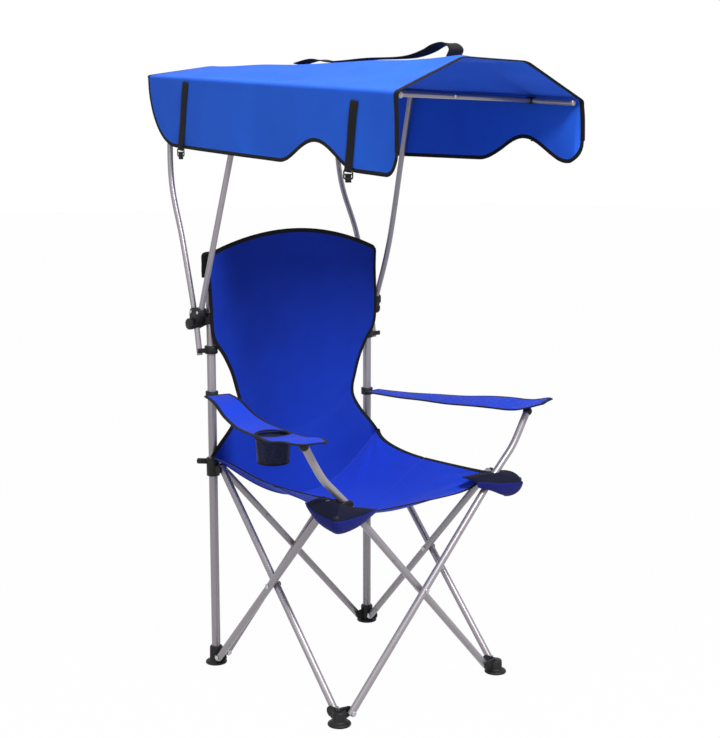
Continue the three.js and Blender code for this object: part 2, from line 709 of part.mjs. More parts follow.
function cupCentreOn(side) {
  const { rear, reach, share } = armrestLine(side);
  const along = 1 - CUP_BEHIND_POST / reach.length();
  const place = rear.clone().addScaledVector(reach, along);
  return vec(place.x, place.y, armrestZ(side, along * share) - ARMREST_THICKNESS - CUP_SEAT_GAP);
}

function armLoopSolid(side) {
  const tabTop = armrestZ(side, 0) - ARMREST_THICKNESS - LOOP_SEAT_GAP;
  const middle = vec(side * HALF, HALF, tabTop);
  const low = middle.clone().setZ(tabTop - LOOP_HEIGHT / 2);
  const high = middle.clone().setZ(tabTop + LOOP_HEIGHT / 2);
  const ring = rod(low, high, LOOP_RADIUS);
  const tab = box(
    middle.clone().add(vec(-LOOP_TAB_HALF, -LOOP_TAB_REACH, -LOOP_TAB_THICKNESS)),
    middle.clone().add(vec(LOOP_TAB_HALF, -UPRIGHT_RADIUS, 0)),
  );
  const past = vec(0, 0, LOOP_HEIGHT);
  const bore = rod(low.sub(past), high.add(past), UPRIGHT_RADIUS + SLEEVE_CLEARANCE);
  return cut(join(ring, tab), bore);
}

function cupHolderSolid(centre) {
  const top = centre.z;
  const profile = [
    [0, top - CUP_DEPTH],
    [CUP_RADIUS - CUP_TAPER, top - CUP_DEPTH],
    [CUP_RADIUS, top],
    [CUP_RADIUS - CUP_WALL, top],
    [CUP_RADIUS - CUP_TAPER - CUP_WALL, top - CUP_DEPTH + CUP_WALL],
    [0, top - CUP_DEPTH + CUP_WALL],
  ];
  return turned(profile).translate(centre.x, centre.y, 0);
}

const SIDES = [
  { name: "right", side: -1 },
  { name: "left", side: 1 },
];

for (const { name, side } of SIDES) {
  const cup = name === "right" ? cupCentreOn(side) : null;
  place(chair, `arm_cap_${name}`, armCapSolid(side), plastic);
  place(chair, `arm_loop_${name}`, armLoopSolid(side), plastic);
  place(chair, `armrest_${name}`, armrestSolid(side, cup), blueCloth);
  if (cup) place(chair, "cup_holder", cupHolderSolid(cup), mesh);
}

// Seat in two halves that meet across the middle, and the back panel that stands on the rear half

const parabola = (u) => 1 - u * u;

function blend3(rear, middle, front, v) {
  const t = v * v;
  return v >= 0 ? middle + (rear - middle) * t : middle + (front - middle) * t;
}

const hammock = (u) => parabola(u) ** 1.25;
const taut = (u) => 1 - u ** 6;

// The seat at share u across (-1 to 1) and v along (-1 at the front edge, 1 at the crease). It hangs
// like a hammock, and its front edge is drawn nearly straight.
function seatPoint(u, v) {
  const t = v * v;
  const rearHalf = SEAT_MIDDLE_HALF + (SEAT_REAR_HALF - SEAT_MIDDLE_HALF) * t ** 3;
  const frontHalf = SEAT_MIDDLE_HALF + (SEAT_FRONT_HALF - SEAT_MIDDLE_HALF) * t;
  const edgeZ = SEAT_PIN_HEIGHT + blend3(CREASE_RISE, -SEAT_MIDDLE_DROP, SEAT_FRONT_RISE, v);
  const sag = blend3(CREASE_SAG, SEAT_MIDDLE_SAG, SEAT_FRONT_SAG, v);
  const hang = v >= 0 ? hammock(u) : THREE.MathUtils.lerp(hammock(u), taut(u), t * t);
  const reach = v >= 0 ? CREASE_Y - CREASE_BOW * parabola(u) : SEAT_FRONT_Y - SEAT_FRONT_BOW * parabola(u);
  return vec(u * (v >= 0 ? rearHalf : frontHalf), v * reach, edgeZ - sag * hang);
}

const SEAT_GAP_SHARE = SEAT_SPLIT_GAP / (2 * CREASE_Y);
const ACROSS = evenly(12, -1, 1);
const seatRear = cloth(seatPoint, ACROSS, evenly(7, SEAT_GAP_SHARE, 1), FABRIC_THICKNESS);
const seatFront = cloth(seatPoint, ACROSS, evenly(7, -1, -SEAT_GAP_SHARE), FABRIC_THICKNESS);
place(chair, "seat_rear", seatRear, blueCloth);
place(chair, "seat_front", seatFront, blueCloth);

const backHalf = new THREE.SplineCurve(
  BACK_HEIGHT_SHARES.map((share, i) => new THREE.Vector2(share, BACK_HALF_SHARES[i])),
);

// The back panel at share u across and v up: waisted, arched along the top and slack in the middle.
function backPoint(u, v) {
  const crease = seatPoint(u, 1);
  const row = backHalf.getPoint(v);
  const footZ = crease.z + CREASE_GAP;
  const topZ = BACK_TOP_Z + BACK_ARCH * parabola(u);
  const z = footZ + (topZ - footZ) * row.x;
  const slack = BACK_BULGE * parabola(u) ** 2 * Math.sin(Math.PI * v);
  const step = THREE.MathUtils.clamp((v - BACK_STEP_SHARE) / BACK_STEP_LENGTH_SHARE, 0, 1);
  const upperY = THREE.MathUtils.lerp(BACK_Y, BACK_SLEEVE_Y, step);
  const y = THREE.MathUtils.lerp(crease.y - FABRIC_THICKNESS, upperY, Math.min(1, 3 * v));
  return vec(u * BACK_TOP_HALF * row.y, y + slack, z);
}

// A round pocket over the top of each upright, sewn to the back panel.
function uprightSleeve(side) {
  const inner = UPRIGHT_RADIUS + PLUG_LIP + SLEEVE_CLEARANCE;
  const outer = inner + SLEEVE_WALL;
  const roof = UPRIGHT_TOP + TUBE_CLEARANCE + PLUG_HEAD + SLEEVE_CLEARANCE;
  const profile = [
    [outer, UPRIGHT_TOP - SLEEVE_DROP],
    [outer, roof],
    [outer / 2, roof + SLEEVE_WALL],
    [0, roof + SLEEVE_WALL],
    [0, roof],
    [inner, roof],
    [inner, UPRIGHT_TOP - SLEEVE_DROP],
    [outer, UPRIGHT_TOP - SLEEVE_DROP],
  ];
  return turned(profile).translate(side * HALF, HALF, 0);
}

const backSheet = cloth(backPoint, ACROSS, evenly(16, 0, 1), FABRIC_THICKNESS);
place(chair, "back_panel", join(backSheet, uprightSleeve(-1), uprightSleeve(1)), blueCloth);

// Canopy heights along the chair

function alongCanopy(y, front, rear) {
  return THREE.MathUtils.mapLinear(y, CANOPY_FRONT_Y, CANOPY_REAR_Y, front, rear);
}

const eaveZ = (y) => alongCanopy(y, EAVE_FRONT_Z, EAVE_REAR_Z);
const ridgeZ = (y) => eaveZ(y) + alongCanopy(y, RIDGE_FRONT_RISE, RIDGE_REAR_RISE);
const railZ = (y) => eaveZ(y) - RAIL_DROP;
const RAIL_SLOPE = Math.atan2(EAVE_REAR_Z - EAVE_FRONT_Z, CANOPY_REAR_Y - CANOPY_FRONT_Y);

function roundedEnd(distance, length, height) {
  const share = Math.max(0, 1 - distance / length);
  return height * (1 - Math.sqrt(1 - share * share));
}

function hemZ(side, y) {
  const scallopY = side < 0 ? SCALLOP_RIGHT_Y : SCALLOP_LEFT_Y;
  const middleZ = side < 0 ? HEM_RIGHT_Z : HEM_LEFT_Z;
  const slope = side < 0 ? HEM_RIGHT_SLOPE_SHARE : HEM_LEFT_SLOPE_SHARE;
  const across = Math.min(1, Math.abs(y - scallopY) / SCALLOP_HALF);
  const scallop = SCALLOP_RISE * Math.cos(QUARTER_TURN * across) ** 2;
  const front = roundedEnd(y - CANOPY_FRONT_Y, HEM_FRONT_CORNER_LENGTH, HEM_FRONT_CORNER_HEIGHT);
  const rear = roundedEnd(CANOPY_REAR_Y - y, HEM_REAR_CORNER_LENGTH, HEM_REAR_CORNER_HEIGHT);
  return middleZ + slope * y + scallop + front + rear;
}

// Canopy frame, one side

function clampSolid(side) {
  const corner = vec(side * HALF, HALF, 0);
  const low = corner.clone().setZ(CLAMP_MIDDLE_Z - CLAMP_HEIGHT / 2);
  const high = corner.clone().setZ(CLAMP_MIDDLE_Z + CLAMP_HEIGHT / 2);
  const earShape = new THREE.Shape();
  earShape.moveTo(HALF - UPRIGHT_RADIUS / 2, low.z);
  earShape.lineTo(PIVOT_Y, PIVOT_Z - CLAMP_EAR_RADIUS);
  earShape.absarc(PIVOT_Y, PIVOT_Z, CLAMP_EAR_RADIUS, -QUARTER_TURN, QUARTER_TURN, false);
  earShape.lineTo(HALF - UPRIGHT_RADIUS / 2, high.z);
  const earNear = HALF + UPRIGHT_RADIUS + TUBE_CLEARANCE;
  const ear = alongX(extrude(earShape, CLAMP_EAR_THICKNESS, PIN_SIDES), side, earNear);
  const pinFrom = vec(side * (earNear + CLAMP_EAR_THICKNESS / 2), PIVOT_Y, PIVOT_Z);
  const pinEnd = HALF + STRUT_OFFSET + BLOCK_HALF_THICKNESS + KNOB_BORE_DEPTH;
  const pin = rod(pinFrom, pinFrom.clone().setX(side * pinEnd), PIVOT_PIN_RADIUS, PIN_SIDES);
  const past = vec(0, 0, CLAMP_HEIGHT);
  const ring = rod(low, high, CLAMP_RADIUS);
  const bore = rod(low.clone().sub(past), high.clone().add(past), UPRIGHT_RADIUS + CLAMP_CLEARANCE);
  return join(cut(join(ring, ear), bore), pin);
}

// A plate drawn in (y, z) and extruded along +Z is stood up to reach outwards from x = near.
function alongX(geometry, side, near) {
  geometry.rotateX(QUARTER_TURN).rotateZ(QUARTER_TURN);
  if (side > 0) return geometry.translate(near, 0, 0);
  geometry.computeBoundingBox();
  const depth = geometry.boundingBox.max.x - geometry.boundingBox.min.x;
  return geometry.translate(-near - depth, 0, 0);
}

// The hook behind the strut's tail: it keeps the canopy from dropping forward.
function stopClampSolid(side) {
  const corner = vec(side * HALF, HALF, 0);
  const low = corner.clone().setZ(STOP_Z - STOP_CLAMP_HEIGHT / 2);
  const high = corner.clone().setZ(STOP_Z + STOP_CLAMP_HEIGHT / 2);
  const hookX = [side * (HALF - CLAMP_RADIUS / 2), side * (HALF + STRUT_OFFSET + STOP_REACH)];
  const tailAtStop = tailYAt(STOP_Z + STOP_HALF_HEIGHT) + STRUT_RADIUS / Math.cos(TAIL_TILT);
  const hookY = tailAtStop + SEAT_GAP;
  const hook = box(
    vec(Math.min(...hookX), hookY, STOP_Z - STOP_HALF_HEIGHT),
    vec(Math.max(...hookX), hookY + STOP_THICKNESS, STOP_Z + STOP_HALF_HEIGHT),
  );
  const shoulder = box(
    vec(side * HALF - UPRIGHT_RADIUS / 2, HALF + UPRIGHT_RADIUS, STOP_Z - STOP_HALF_HEIGHT),
    vec(side * HALF + UPRIGHT_RADIUS / 2, hookY + STOP_THICKNESS, STOP_Z + STOP_HALF_HEIGHT),
  );
  const past = vec(0, 0, STOP_CLAMP_HEIGHT);
  const ring = rod(low, high, CLAMP_RADIUS);
  const bore = rod(low.clone().sub(past), high.clone().add(past), UPRIGHT_RADIUS + CLAMP_CLEARANCE);
  return cut(join(ring, hook, shoulder), bore);
}

const TAIL_TILT = Math.atan2(PIVOT_Y - TAIL_Y, PIVOT_Z - TAIL_Z);

function tailYAt(z) {
  return THREE.MathUtils.mapLinear(z, TAIL_Z, PIVOT_Z, TAIL_Y, PIVOT_Y);
}

// A strut runs beside the upright at first, then leans in under its rail.
function strutCurve(side, places) {
  const low = HALF + STRUT_OFFSET;
  const top = places[places.length - 1][1];
  const bendZ = PIVOT_Z + STRUT_STRAIGHT;
  return new THREE.CatmullRomCurve3(
    places.map(([y, z]) => {
      const lean = Math.max(0, (z - bendZ) / (top - bendZ));
      return vec(side * THREE.MathUtils.lerp(low, RAIL_HALF_SPACING, lean), y, z);
    }),
    false,
    "centripetal",
  );
}

const underRail = (y) => railZ(y) - STRUT_COPE;

const REAR_STRUT_PLACES = [
  [TAIL_Y, TAIL_Z],
  [PIVOT_Y, PIVOT_Z],
  [REAR_STRUT_LOW_Y, REAR_STRUT_LOW_Z],
  [REAR_STRUT_HIGH_Y, REAR_STRUT_HIGH_Z],
  [REAR_STRUT_TOP_Y, underRail(REAR_STRUT_TOP_Y)],
];
const FRONT_STRUT_PLACES = [
  [FRONT_STRUT_FOOT_Y, FRONT_STRUT_FOOT_Z],
  [FRONT_STRUT_LOW_Y, FRONT_STRUT_LOW_Z],
  [FRONT_STRUT_HIGH_Y, FRONT_STRUT_HIGH_Z],
  [FRONT_STRUT_TOP_Y, underRail(FRONT_STRUT_TOP_Y)],
];

function pivotBore(side, radius) {
  const near = HALF + UPRIGHT_RADIUS;
  const far = near + STRUT_OFFSET + 2 * BLOCK_HALF_THICKNESS;
  return rod(vec(side * near, PIVOT_Y, PIVOT_Z), vec(side * far, PIVOT_Y, PIVOT_Z), radius, PIN_SIDES);
}

// Both struts are notched where they meet the rail, and only the rear one sits on the pivot pin.
function strutSolid(side, places) {
  const tube = bentPipe(strutCurve(side, places), STRUT_RADIUS, STRUT_RADIUS - STRUT_WALL, STRUT_STEPS);
  const notch = railRod(side, CANOPY_FRONT_Y, CANOPY_REAR_Y, RAIL_RADIUS + SEAT_GAP);
  return cut(tube, notch, pivotBore(side, PIVOT_PIN_RADIUS + PIN_CLEARANCE));
}

function railRod(side, frontY, rearY, radius) {
  return rod(railPoint(side, frontY), railPoint(side, rearY), radius, TUBE_SIDES);
}

// The moulded block turns on the clamp's pin and grips both struts.
function strutBlockSolid(side) {
  const outline = new THREE.Shape();
  outline.absarc(PIVOT_Y, PIVOT_Z, BLOCK_MARGIN, Math.PI, 2 * Math.PI, false);
  const rearUp = PIVOT_Z + 2 * BLOCK_MARGIN;
  outline.lineTo(PIVOT_Y + BLOCK_MARGIN + STRUT_WALL, rearUp);
  outline.absarc(PIVOT_Y, rearUp, BLOCK_MARGIN, 0, QUARTER_TURN, false);
  outline.lineTo(FRONT_STRUT_FOOT_Y - BLOCK_MARGIN, rearUp + BLOCK_MARGIN);
  outline.lineTo(FRONT_STRUT_FOOT_Y - BLOCK_MARGIN - STRUT_WALL, FRONT_STRUT_FOOT_Z);
  const near = HALF + STRUT_OFFSET - BLOCK_HALF_THICKNESS;
  const block = alongX(extrude(outline, 2 * BLOCK_HALF_THICKNESS, PIN_SIDES), side, near);
  const channelRadius = STRUT_RADIUS + TUBE_CLEARANCE;
  const channel = (places) =>
    new THREE.ExtrudeGeometry(circle(channelRadius), {
      extrudePath: strutCurve(side, places),
      steps: STRUT_STEPS,
      bevelEnabled: false,
      curveSegments: TUBE_SIDES / 2,
    });
  const foot = vec(side * (HALF + STRUT_OFFSET), FRONT_STRUT_FOOT_Y, FRONT_STRUT_FOOT_Z);
  const up = vec(0, FRONT_STRUT_LOW_Y - FRONT_STRUT_FOOT_Y, FRONT_STRUT_LOW_Z - FRONT_STRUT_FOOT_Z).normalize();
  const footRoom = rod(
    foot.clone().addScaledVector(up, -STRUT_WALL),
    foot.clone().addScaledVector(up, STRUT_RADIUS),
    channelRadius,
    TUBE_SIDES,
  );
  return cut(
    block,
    channel(REAR_STRUT_PLACES),
    channel(FRONT_STRUT_PLACES),
    footRoom,
    pivotBore(side, PIVOT_PIN_RADIUS + PIN_CLEARANCE),
  );
}

function knobSolid(side) {
  const points = evenly(4 * KNOB_LOBES, 0, 2 * Math.PI).slice(0, -1);
  const rim = (angle) => KNOB_RADIUS - KNOB_LOBE_DEPTH * Math.cos(KNOB_LOBES * angle) ** 2;
  const shape = new THREE.Shape(
    points.map((angle) => new THREE.Vector2(rim(angle) * Math.cos(angle), rim(angle) * Math.sin(angle))),
  );
  const disc = new THREE.ExtrudeGeometry(shape, { depth: KNOB_THICKNESS, bevelEnabled: false });
  const near = HALF + STRUT_OFFSET + BLOCK_HALF_THICKNESS + TUBE_CLEARANCE;
  const from = vec(side * near, PIVOT_Y, PIVOT_Z);
  const out = vec(side, 0, 0);
  const knob = aim(disc, from, from.clone().add(out));
  const boreEnd = from.clone().addScaledVector(out, KNOB_BORE_DEPTH + TUBE_CLEARANCE);
  const boreStart = from.clone().addScaledVector(out, -KNOB_THICKNESS);
  return cut(knob, rod(boreStart, boreEnd, PIVOT_PIN_RADIUS + PIN_CLEARANCE, PIN_SIDES));
}

// The rails follow the eaves, just under the fabric.

function railPoint(side, y) {
  return vec(side * RAIL_HALF_SPACING, y, railZ(y));
}

function railSolid(side) {
  const front = railPoint(side, CANOPY_FRONT_Y + RAIL_END_INSET);
  const rear = railPoint(side, CANOPY_REAR_Y - RAIL_END_INSET);
  return pipe(front, rear, RAIL_RADIUS, RAIL_RADIUS - RAIL_WALL);
}

// The right half of a bar lies in front of the left half where they lap.
function barHalfSolid(side, y) {
  const lapY = y + side * BAR_LAP_OFFSET;
  const sleeveFront = lapY - BAR_SLEEVE_LENGTH / 2;
  const sleeveRear = lapY + BAR_SLEEVE_LENGTH / 2;
  const sleeve = railRod(side, sleeveFront, sleeveRear, BAR_SLEEVE_RADIUS);
  const outer = vec(side * (RAIL_HALF_SPACING - RAIL_RADIUS), lapY, railZ(lapY));
  const tube = pipe(outer, vec(-side * BAR_OVERLAP, lapY, railZ(lapY)), BAR_RADIUS, BAR_RADIUS - BAR_WALL);
  const bore = railRod(side, sleeveFront - BAR_RADIUS, sleeveRear + BAR_RADIUS, RAIL_RADIUS + BAR_CLEARANCE);
  return cut(join(sleeve, tube), bore);
}

// A tie strap lies on the outside of the valance, and its tail hangs below the hem.
function tieSolid(side, y, top) {
  const near = CANOPY_HALF_WIDTH + TUBE_CLEARANCE;
  const xs = [side * near, side * (near + TIE_THICKNESS)];
  const low = vec(Math.min(...xs), y - TIE_WIDTH / 2, hemZ(side, y) - TIE_TAIL);
  return box(low, vec(Math.max(...xs), y + TIE_WIDTH / 2, top));
}

for (const { name, side } of SIDES) {
  place(chair, `canopy_clamp_${name}`, clampSolid(side), plastic);
  place(chair, `canopy_stop_${name}`, stopClampSolid(side), plastic);
  place(chair, `strut_block_${name}`, strutBlockSolid(side), plastic);
  place(chair, `canopy_knob_${name}`, knobSolid(side), plastic);
  place(chair, `rear_strut_${name}`, strutSolid(side, REAR_STRUT_PLACES), steel);
  place(chair, `front_strut_${name}`, strutSolid(side, FRONT_STRUT_PLACES), steel);
  place(chair, `canopy_rail_${name}`, railSolid(side), steel);
  place(chair, `cross_bar_front_${name}`, barHalfSolid(side, BAR_FRONT_Y), steel);
  place(chair, `cross_bar_rear_${name}`, barHalfSolid(side, BAR_REAR_Y), steel);
  place(chair, `tie_rear_${name}`, tieSolid(side, TIE_REAR_Y, TIE_REAR_TOP), webbing);
  place(chair, `tie_front_${name}`, tieSolid(side, TIE_FRONT_Y, TIE_FRONT_TOP), webbing);
}

// The canopy's section runs from hem to eave, up to the ridge, across and down again.
const VALANCE_SHARES = [0, 0.5, 1];

function canopySection(y) {
  const eave = eaveZ(y);
  const ridge = ridgeZ(y);
  const half = (side) => {
    const hem = Math.min(hemZ(side, y), eave - CANOPY_THICKNESS);
    const valance = VALANCE_SHARES.map((share) => [side * CANOPY_HALF_WIDTH, hem + (eave - hem) * share]);
    const slopeMiddle = [(side * (CANOPY_HALF_WIDTH + RIDGE_HALF_WIDTH)) / 2, (eave + ridge) / 2];
    return [...valance, slopeMiddle, [side * RIDGE_HALF_WIDTH, ridge]];
  };
  return [...half(-1), [0, ridge], ...half(1).reverse()];
}

const SECTION_COUNT = 2 * (VALANCE_SHARES.length + 2) + 1;
const canopyRows = evenly(32, 0, 1).map((t) => {
  const eased = (1 - Math.cos(Math.PI * t)) / 2;
  return THREE.MathUtils.lerp(CANOPY_FRONT_Y, CANOPY_REAR_Y, (eased + t) / 2);
});
const canopyPoint = (i, y) => {
  const [x, z] = canopySection(y)[i];
  return vec(x, y, z);
};
const canopyColumns = evenly(SECTION_COUNT - 1, 0, SECTION_COUNT - 1);
place(chair, "canopy", cloth(canopyPoint, canopyColumns, canopyRows, CANOPY_THICKNESS), canopyCloth);

// The carry strap lies folded along the top and stands up in one loop near the front.
const carryLine = new THREE.CatmullRomCurve3(
  CARRY_LENGTH_SHARES.map((share, i) => {
    const y = CARRY_REAR_Y - CARRY_SPAN * share;
    return vec(0, y, ridgeZ(y) + CARRY_THICKNESS + CARRY_LOOP_RISE * CARRY_RISE_SHARES[i]);
  }),
  false,
  "centripetal",
);
const carryPoint = (u, v) => carryLine.getPoint(1 - v).setX(CARRY_X + (u * CARRY_WIDTH) / 2);
place(chair, "carry_strap", cloth(carryPoint, [-1, 0, 1], evenly(24, 0, 1), CARRY_THICKNESS), webbing);

export default chair;
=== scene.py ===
import math

import bmesh
import bpy
import numpy as np
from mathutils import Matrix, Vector


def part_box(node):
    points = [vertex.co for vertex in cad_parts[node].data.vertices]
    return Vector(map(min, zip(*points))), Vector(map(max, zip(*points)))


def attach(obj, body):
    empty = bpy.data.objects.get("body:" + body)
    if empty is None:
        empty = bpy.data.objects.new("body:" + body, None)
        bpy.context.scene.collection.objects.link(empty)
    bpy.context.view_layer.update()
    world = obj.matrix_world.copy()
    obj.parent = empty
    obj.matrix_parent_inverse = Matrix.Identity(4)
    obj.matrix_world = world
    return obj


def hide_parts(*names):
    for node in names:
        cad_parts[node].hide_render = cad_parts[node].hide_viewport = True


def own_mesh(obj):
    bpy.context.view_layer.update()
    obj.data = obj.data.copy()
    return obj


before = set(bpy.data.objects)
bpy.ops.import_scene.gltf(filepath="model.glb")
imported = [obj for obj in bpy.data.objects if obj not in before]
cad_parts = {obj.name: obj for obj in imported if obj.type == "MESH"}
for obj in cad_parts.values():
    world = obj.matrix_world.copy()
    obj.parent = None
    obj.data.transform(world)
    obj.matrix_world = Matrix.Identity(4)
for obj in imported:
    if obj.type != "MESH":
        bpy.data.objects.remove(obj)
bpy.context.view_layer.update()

# Sizes, in metres

HALF = 0.230
PIN_INSET = 0.026
FAR_PIN = 2 * HALF - PIN_INSET
FOOT_PIN_Z = 0.022
SEAT_PIN_Z = 0.467
CROSS_R = 0.008
CROSS_OFFSET = 0.0083
CROSS_REACH = 2 * CROSS_R + 2 * (CROSS_OFFSET - CROSS_R)
OVERRUN = 0.0065
UPRIGHT_R = 0.010
UPRIGHT_FOOT = 0.0055
UPRIGHT_TOP = 0.942
POST = [(0.0, 0.0), (0.030, 0.029), (0.062, 0.062), (0.108, 0.136)]
ARM_TOP = 0.6148
STRUT_R = 0.0065
RAIL_R = 0.006
RAIL_X = 0.236
RAIL_DROP = 0.0063
BAR_R = 0.005
CANOPY_HALF = 0.255
CANOPY_FRONT = -0.432
CANOPY_REAR = 0.433
EAVE_FRONT = 1.283
EAVE_REAR = 1.357
RIDGE_HALF = 0.086
RIDGE_FRONT_RISE = 0.071
RIDGE_REAR_RISE = 0.028
SIDES = (("right", -1.0), ("left", 1.0))
LEFT, REAR, UP = (1, 0, 0), (0, 1, 0), (0, 0, 1)

# Shapes as arrays


def normed(vectors):
    """Each vector divided by its own length."""
    return vectors / np.maximum(np.linalg.norm(vectors, axis=-1, keepdims=True), 1e-12)


def coords(*parts):
    """Coordinates, each a number or an array, set together as points."""
    return np.stack(np.broadcast_arrays(*parts), axis=-1)


def soft_step(value, low, high):
    """0 below low, 1 above high, and 3t^2 - 2t^3 between."""
    share = np.clip((value - low) / (high - low), 0, 1)
    return share * share * (3 - 2 * share)


def ripple(x, y, seed, low, high, count=7):
    """Smooth unevenness from about -1 to 1: 1.8 times the mean of plane sine waves of random heading, phase and
    number of radians to the metre, from low to high."""
    rng = np.random.default_rng(seed)
    heading = rng.uniform(0, 2 * math.pi, count)
    pitch = rng.uniform(low, high, count)
    phase = rng.uniform(0, 2 * math.pi, count)
    along = x[..., None] * np.cos(heading) + y[..., None] * np.sin(heading)
    return np.sin(along * pitch + phase).mean(axis=-1) * 1.8


def cubic(start, end, slope, next_slope, t):
    """The cubic from start at t = 0 to end at t = 1 that has the two slopes there."""
    square, cube = -3 * start + 3 * end - 2 * slope - next_slope, 2 * start - 2 * end + slope + next_slope
    return cube * t**3 + square * t**2 + slope * t + start


def curve_through(points, per_span=14):
    """A centripetal Catmull-Rom curve: knots are spaced by the square root of chord length, each span is the
    cubic with the knots' blended slopes m1 and m2, and the ends are carried on straight."""
    p = np.asarray(points, float)
    p = np.vstack([2 * p[0] - p[1], p, 2 * p[-1] - p[-2]])
    t = np.linspace(0, 1, per_span, endpoint=False)[:, None]
    spans = []
    for a, b, c, d in zip(p[:-3], p[1:-2], p[2:-1], p[3:]):
        ab, bc, cd = (math.sqrt(np.linalg.norm(e)) for e in (b - a, c - b, d - c))
        m1 = ((b - a) / ab - (c - a) / (ab + bc) + (c - b) / bc) * bc
        m2 = ((c - b) / bc - (d - b) / (bc + cd) + (d - c) / cd) * bc
        spans.append(cubic(b, c, m1, m2, t))
    return np.vstack(spans + [p[-2:-1]])


def grid_normals(grid):
    """Unit normals of a grid: across the rows' direction times up the columns' direction."""
    return normed(np.cross(np.gradient(grid, axis=1), np.gradient(grid, axis=0)))


def grid_uv(grid):
    """The grid's own lengths along rows and columns, in metres, so that a weave keeps its scale."""
    u = np.cumsum(np.linalg.norm(np.diff(grid, axis=1, prepend=grid[:, :1]), axis=2), axis=1)
    v = np.cumsum(np.linalg.norm(np.diff(grid, axis=0, prepend=grid[:1]), axis=2), axis=0)
    u -= u[:, -1:] / 2
    return coords(u, v)


def wrapped(grid):
    """The grid with its first column again after its last."""
    return np.concatenate([grid, grid[:, :1]], axis=1)


def mesh_from_grid(name, grid, round_rows=False, uv=None):
    """A sheet or tube of quads from a grid of points (rows, columns, 3). With round_rows each row closes on
    itself. The UV map holds lengths in metres."""
    rows, cols, _ = grid.shape
    if uv is None:
        uv = grid_uv(wrapped(grid) if round_rows else grid)
    index = np.arange(rows * cols).reshape(rows, cols)
    index = wrapped(index) if round_rows else index
    quads, corner = (np.stack([a[:-1, :-1], a[:-1, 1:], a[1:, 1:], a[1:, :-1]], axis=2) for a in (index, uv))
    mesh = bpy.data.meshes.new(name)
    mesh.from_pydata(grid.reshape(-1, 3).tolist(), [], quads.reshape(-1, 4).tolist())
    mesh.shade_smooth()
    mesh.uv_layers.new(name="lengths").data.foreach_set("uv", corner.reshape(-1).astype(np.float32))
    mesh.validate()
    piece = bpy.data.objects.new(name, mesh)
    bpy.context.scene.collection.objects.link(piece)
    return piece


def turned_outwards(piece):
    """Welds doubled points, and turns the faces of a closed piece to point out of it."""
    shape = bmesh.new()
    shape.from_mesh(piece.data)
    bmesh.ops.remove_doubles(shape, verts=shape.verts, dist=1e-6)
    bmesh.ops.dissolve_degenerate(shape, edges=shape.edges, dist=1e-7)
    bmesh.ops.recalc_face_normals(shape, faces=shape.faces)
    if shape.calc_volume(signed=True) < 0:
        bmesh.ops.reverse_faces(shape, faces=shape.faces)
    shape.to_mesh(piece.data)
    shape.free()
    piece.data.shade_smooth()
    return piece


def swept(name, path, radii, reference, sides=28, section=None):
    """A tube along a path: rings of the given radii stand square to the path, in a frame made from the path's
    direction and a reference vector. section gives the ring's two half-axes as shares of the radius."""
    path = np.asarray(path, float)
    radii = np.broadcast_to(np.asarray(radii, float), (len(path),))
    reference = np.broadcast_to(np.asarray(reference, float), path.shape)
    heading = normed(np.gradient(path, axis=0))
    across = normed(np.cross(heading, reference))
    over = np.cross(across, heading)
    wide, thick = section or (1.0, 1.0)
    angle = np.linspace(0, 2 * math.pi, sides, endpoint=False)[:, None]
    spokes = across[:, None] * np.cos(angle) * wide + over[:, None] * np.sin(angle) * thick
    grid = path[:, None] + spokes * radii[:, None, None]
    along = np.linalg.norm(np.diff(path, axis=0, prepend=path[:1]), axis=1).cumsum()
    around = np.linspace(0, 2 * math.pi * radii.max(), sides + 1)
    uv = coords(around[None, :], along[:, None])
    return turned_outwards(mesh_from_grid(name, grid, True, uv))


def with_ends(path, radius, round_over=0.0012):
    """Adds stations at both ends of a path, so that a swept tube closes in a quarter-round lip and a flat face:
    at angle a the lip stands 1 - cos a of the rounding in from the end, at the full radius less 1 - sin a of it."""
    path = np.asarray(path, float)
    turn = np.radians([0, 30, 60, 90])[:, None]
    head, tail = normed(path[1] - path[0]), normed(path[-1] - path[-2])
    lead = path[0] + head * round_over * (1 - np.cos(turn))
    trail = (path[-1] - tail * round_over * (1 - np.cos(turn)))[::-1]
    lip = (radius - round_over * (1 - np.sin(turn)))[:, 0]
    stations = np.vstack([path[:1], lead, path[1:-1], trail, path[-1:]])
    sizes = np.concatenate([[0], lip, np.full(len(path) - 2, radius), lip[::-1], [0]])
    return stations, sizes


def turned(name, profile, base, axis, sides=48):
    """A turned shape: a profile of (radius, height) carried round an axis that starts at base."""
    profile = np.asarray(profile, float)
    axis = normed(np.asarray(axis, float))
    helper = np.array([1.0, 0, 0]) if abs(axis[0]) < 0.9 else np.array([0, 1.0, 0])
    first = normed(np.cross(axis, helper))
    second = np.cross(axis, first)
    angle = np.linspace(0, 2 * math.pi, sides, endpoint=False)
    spoke = first * np.cos(angle)[:, None] + second * np.sin(angle)[:, None]
    grid = np.asarray(base, float) + profile[:, 1, None, None] * axis + profile[:, 0, None, None] * spoke
    return turned_outwards(mesh_from_grid(name, grid, True))


# Materials: shader sums are written as plain expressions on sockets


def feed(tree, socket, value):
    """Links a socket to a Wire or to another socket, or gives it a plain value."""
    value = value.socket if isinstance(value, Wire) else value
    if isinstance(value, bpy.types.NodeSocket):
        tree.links.new(value, socket)
    else:
        socket.default_value = value


def add_node(tree, kind, settings=None, **feeds):
    """Any node: its settings first, then the values or links of its sockets, named with _ for a space."""
    made = tree.nodes.new(kind)
    for key, value in (settings or {}).items():
        setattr(made, key, value)
    for key, value in feeds.items():
        feed(tree, made.inputs[key.replace("_", " ")], value)
    return made


